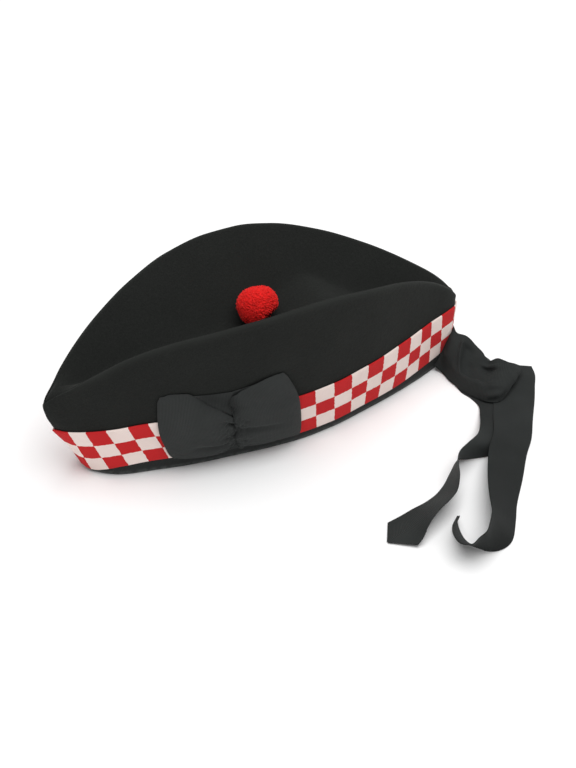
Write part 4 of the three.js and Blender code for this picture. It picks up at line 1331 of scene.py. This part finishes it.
def wing_table(wing):
    """A wing's rows out along its front, round its fold and back behind it."""
    rows = [list(row) for row in wing]
    end, top, low, lift = wing[-1]
    rows.append([1.0, top, low, (lift + BOW_BACK_LIFT) / 2])
    rows.append([end, top, low, BOW_BACK_LIFT])
    for out in BOW_BACK_OUTS:
        rows.append([out, lerp(BOW_BACK_TOP, top, out), lerp(BOW_BACK_LOW, low, out), BOW_BACK_LIFT])
    return np.array(rows)


def wing_lift(out, w, z, lift, press):
    """How far a wing stands off the cap, pressed down along its edges and rising from the pinch."""
    pressed = 1 - np.where(w > 0.5, press, LOW_PRESS) * np.abs(2 * w - 1) ** 4
    seat = lerp(BOW_BACK_LIFT, BOW_BACK_ON_FELT, soft_step(*BOW_SEAT_HEIGHTS, z))
    rising = lerp(1.0, soft_step(*RISE_OUT, out), soft_step(*RISE_HEIGHTS, z))
    return seat + (lift - BOW_BACK_LIFT) * lerp(1.0, pressed, soft_step(*PRESS_OUT, out)) * rising


def wing_share(out, w, z, fold, low_corner, is_front):
    """Where along the cap a wing's points lie, with rounded corners and a wandering pinch."""
    top_corner = TOP_CORNER * soft_step(*TOP_CORNER_SPAN, w) ** 2
    corner = 1 - top_corner - low_corner * soft_step(*LOW_CORNER_SPAN, w) ** 2
    reach = out * lerp(1.0, corner, soft_step(*CORNER_OUT, out))
    share = lerp(BOW_MIDDLE, smooth_column(*np.array(fold).T)(z), reach)
    upwards, start = PINCH_WAVE
    wander = PINCH_WANDER * np.sin(upwards * z + start) + PINCH_SLANT * soft_step(*PINCH_SLANT_HEIGHTS, z)
    return share + wander * hill(out, PINCH_REACH) * is_front


def wing_folds(out, w, crease_at):
    """How far a wing's gathers, its long crease and its sag stand out, in millimetres."""
    gathers = sum(height * np.cos(2 * math.pi * (number * w + start)) for height, number, start in GATHERS)
    folds = gathers * np.exp(-((out / GATHER_REACH) ** GATHER_FALL))
    for height, place, width, fade in CREASES:
        line = hill(w - crease_at + CREASE_SLANT * out - place, width)
        folds = folds + height * line * soft_step(*CREASE_OUT, out) * soft_step(*fade, out)
    height, outwards, across, start = BOW_SAG
    return folds + height * np.sin(outwards * out + across * w + start) * out


def wing_rows(wing, fold, crease_at, press, low_corner):
    """Half of the bow, as rows of points out along its front and back behind it."""
    table = wing_table(wing)
    rows = np.arange(len(table))
    at = np.linspace(0, rows[-1], rows[-1] * BOW_PER_ROW + 1)
    out, top, low, lift = (smooth_column(rows, column)(at)[:, None] for column in table.T)
    w = np.linspace(*BOW_SPAN, BOW_ACROSS)[None]
    z = lerp(low, top, w)
    turn_end, turn_start = (len(wing) + row for row in BOW_TURN)
    is_front = soft_step(turn_end, turn_start, at)[:, None]
    share = wing_share(out, w, z, fold, low_corner, is_front)
    grid = at_height(share, z, wing_lift(out, w, z, lift, press) + is_front * wing_folds(out, w, crease_at))
    puckers = noise_at(grid.reshape(-1, 3) / PUCKER_SIZE, PUCKER_OFFSET).reshape(grid.shape[:2])
    at_pinch = PINCH_PUCKER_HEIGHT * hill(out, PUCKER_REACH) * soft_step(*PUCKER_HEIGHTS, z)
    shift = puckers * (PUCKER_HEIGHT + at_pinch) * is_front
    return grid + wall_normal(share, z / CAP["ridge_z"](share)) * shift[..., None]


def add_bow(sizes, colours):
    """The flat bow on the wearer's left side."""
    right = wing_rows(RIGHT_WING, RIGHT_FOLD, RIGHT_CREASE, RIGHT_PRESS, RIGHT_LOW_CORNER)
    left = wing_rows(LEFT_WING, LEFT_FOLD, LEFT_CREASE, LEFT_PRESS, LEFT_LOW_CORNER)[1:-1][::-1]
    grid = np.concatenate([right, left])
    piece = cloth_piece("cockade_bow_ribbon", grid, sizes.ribbon / MM, ring=True, uv=ribbon_places(grid))
    # Painted shade in the recess between the wings, written as the bow's fade value
    share, height = lerp(*np.array(RECESS), np.linspace(0, 1, RECESS_POINTS)[:, None]).T
    recess = (at_height(share, height, BOW_BACK_LIFT) + SHIFT) * MM
    away = near_line(piece, recess)[0] / MM
    write_values(piece, "fade", RECESS_PAINTED_SHADE * hill(away, RECESS_SPREAD))
    petersham = material_for("black_petersham", ribbon_finish, colours.petersham)
    finish_piece(piece, petersham, "ribbon", "cockade_bow")
    length = length_along(grid, BOW_MEASURED_AT)


def even_directions(count):
    """Directions spread evenly over a ball."""
    k = np.arange(count)
    z = 1 - (2 * k + 1) / count
    turn = math.pi * (3 - math.sqrt(5)) * k
    flat = np.sqrt(1 - z * z)
    return np.stack([flat * np.cos(turn), flat * np.sin(turn), z], axis=-1)


def toorie_reach(direction):
    """How far the trimmed wool stands out in a direction, as a share of the toorie's radius."""
    reach = 1 + LUMP_HEIGHT * noise_at(direction * LUMP_SCALE, LUMP_OFFSET)
    for side, depth in TOORIE_TRIMS:
        reach = reach - depth * soft_step(*TRIM_FACING, direction @ unit(np.array(side)))
    side, distance = TOORIE_FLAT
    flat = distance / np.maximum(direction @ unit(np.array(side)), FLAT_LEAST_FACING)
    return (reach + flat - np.hypot(reach - flat, TOORIE_FLAT_ROUNDING)) / 2


def toorie_strands(radius, count):
    """The cut ends of wool that stand out of the toorie: points, faces and the shade of each point, with
    painted light on the lower strands.
    """
    random = np.random.default_rng(TOORIE_SEED)
    direction = unit(even_directions(count) + random.normal(0, PLACE_SCATTER, (count, 3)))
    form = toorie_reach(direction)
    reach = form * (1 + random.normal(0, LENGTH_SCATTER, count))
    lean = unit(direction + random.normal(0, LEAN_SCATTER, (count, 3)))
    root = direction * (radius * STRAND_ROOT * form)[:, None]
    tip = lean * (radius * reach)[:, None]
    side = unit(np.cross(direction, random.normal(0, 1, (count, 3))))
    other = np.cross(direction, side)
    # Painted light on the lower strands, which the felt shades
    painted_light = TOORIE_LOW_PAINTED_LIGHT * soft_step(*TOORIE_PAINTED_LIGHT_HEIGHTS, direction[:, 2])
    shade = np.clip(TOORIE_SHADE + random.normal(0, SHADE_SCATTER, count) + painted_light, 0, 1)
    turn = 2 * math.pi * np.arange(STRAND_SIDES) / STRAND_SIDES
    rings = []
    for t, thick in STRAND_RINGS:
        middle = lerp(root, tip, t)
        ring = [middle + thick * (side * math.cos(a) + other * math.sin(a)) for a in turn]
        rings.append(np.stack(ring, axis=1))
    points = np.stack(rings, axis=1) + TOORIE_CENTRE
    number = np.arange(points.size // 3).reshape(points.shape[:3])
    after = np.roll(number, -1, axis=2)
    walls = np.stack([number[:, :-1], after[:, :-1], after[:, 1:], number[:, 1:]], axis=-1)
    faces = np.concatenate([walls.reshape(-1, STRAND_SIDES), number[:, -1], number[:, 0, ::-1]])
    return points.reshape(-1, 3), faces, np.repeat(shade, number[0].size)


def toorie_head(radius):
    """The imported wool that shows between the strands."""
    bpy.ops.object.select_all(action="DESELECT")
    bpy.ops.mesh.primitive_ico_sphere_add(subdivisions=5, radius=1.0, location=(0.0, 0.0, 0.0))
    head = bpy.context.active_object
    ball = unit(np.array([vertex.co for vertex in head.data.vertices]))
    packed = ball * (radius * HEAD_SIZE * toorie_reach(ball))[:, None] + TOORIE_CENTRE
    head.data.vertices.foreach_set("co", ((packed + SHIFT) * MM).astype(np.float32).ravel())
    write_values(head, "strand_shade_and_painted_light", np.full(len(ball), HEAD_SHADE))
    return head


def add_toorie(sizes, colours):
    """The wool pompom: a head of packed wool and the cut ends that stand out of it."""
    radius = sizes.toorie_radius / MM
    points, faces, shade = toorie_strands(radius, sizes.toorie_strands)
    head = toorie_head(radius)
    piece = add_piece("toorie_wool", points, faces)
    write_values(piece, "strand_shade_and_painted_light", shade)
    bpy.ops.object.select_all(action="DESELECT")
    head.select_set(True)
    piece.select_set(True)
    bpy.context.view_layer.objects.active = piece
    bpy.ops.object.join()
    piece.data.shade_smooth()
    finish_piece(piece, material_for("red_wool", wool_finish, colours.toorie), "wool", "toorie")


# Operators and panel


class GLENGARRY_OT_stage(bpy.types.Operator):
    """Add the pale floor, the studio light and the camera"""

    bl_idname = "glengarry.stage"
    bl_label = "Stage"

    def execute(self, context):
        add_stage(context.scene.glengarry_colours)
        return {"FINISHED"}


class GLENGARRY_OT_tails(bpy.types.Operator):
    """Add the ribbon's knot behind the cap and its two tails"""

    bl_idname = "glengarry.tails"
    bl_label = "Knot and tails"

    def execute(self, context):
        add_tails_and_knot(context.scene.glengarry_sizes, context.scene.glengarry_colours)
        return {"FINISHED"}


class GLENGARRY_OT_felt(bpy.types.Operator):
    """Add the two felt sides and the sunk felt top"""

    bl_idname = "glengarry.felt"
    bl_label = "Felt cap"

    def execute(self, context):
        add_felt(context.scene.glengarry_sizes, context.scene.glengarry_colours)
        return {"FINISHED"}


class GLENGARRY_OT_band(bpy.types.Operator):
    """Add the band of red and white checks"""

    bl_idname = "glengarry.band"
    bl_label = "Diced band"

    def execute(self, context):
        add_band(context.scene.glengarry_sizes, context.scene.glengarry_colours)
        return {"FINISHED"}


class GLENGARRY_OT_binding(bpy.types.Operator):
    """Add the ribbon that binds the rim"""

    bl_idname = "glengarry.binding"
    bl_label = "Edge binding"

    def execute(self, context):
        add_binding(context.scene.glengarry_sizes, context.scene.glengarry_colours)
        return {"FINISHED"}


class GLENGARRY_OT_bow(bpy.types.Operator):
    """Add the bow on the wearer's left side"""

    bl_idname = "glengarry.bow"
    bl_label = "Bow"

    def execute(self, context):
        add_bow(context.scene.glengarry_sizes, context.scene.glengarry_colours)
        return {"FINISHED"}


class GLENGARRY_OT_toorie(bpy.types.Operator):
    """Add the red wool toorie"""

    bl_idname = "glengarry.toorie"
    bl_label = "Toorie"

    def execute(self, context):
        add_toorie(context.scene.glengarry_sizes, context.scene.glengarry_colours)
        return {"FINISHED"}


class GLENGARRY_PT_panel(bpy.types.Panel):
    """Lists the glengarry's pieces, sizes and colours"""

    bl_idname = "GLENGARRY_PT_panel"
    bl_label = "Glengarry"
    bl_space_type = "VIEW_3D"
    bl_region_type = "UI"
    bl_category = "Glengarry"

    def draw(self, context):
        layout = self.layout
        for operator in OPERATORS:
            layout.operator(operator.bl_idname)
        for group in (context.scene.glengarry_sizes, context.scene.glengarry_colours):
            box = layout.box()
            for name in type(group).__annotations__:
                box.prop(group, name)


OPERATORS = (
    GLENGARRY_OT_stage,
    GLENGARRY_OT_tails,
    GLENGARRY_OT_felt,
    GLENGARRY_OT_band,
    GLENGARRY_OT_binding,
    GLENGARRY_OT_bow,
    GLENGARRY_OT_toorie,
)
CLASSES = (GlengarrySizes, GlengarryColours, *OPERATORS, GLENGARRY_PT_panel)


def register():
    """Makes the operators, settings and panel known."""
    for cls in CLASSES:
        bpy.utils.register_class(cls)
    bpy.types.Scene.glengarry_sizes = PointerProperty(type=GlengarrySizes)
    bpy.types.Scene.glengarry_colours = PointerProperty(type=GlengarryColours)


def unregister():
    """Takes them away again."""
    del bpy.types.Scene.glengarry_colours
    del bpy.types.Scene.glengarry_sizes
    for cls in reversed(CLASSES):
        bpy.utils.unregister_class(cls)


def main():
    """Builds the dressed glengarry."""
    register()
    bpy.ops.glengarry.stage()
    bpy.ops.glengarry.tails()
    bpy.ops.glengarry.felt()
    bpy.ops.glengarry.band()
    bpy.ops.glengarry.binding()
    bpy.ops.glengarry.bow()
    bpy.ops.glengarry.toorie()


if __name__ == "__main__":
    main()
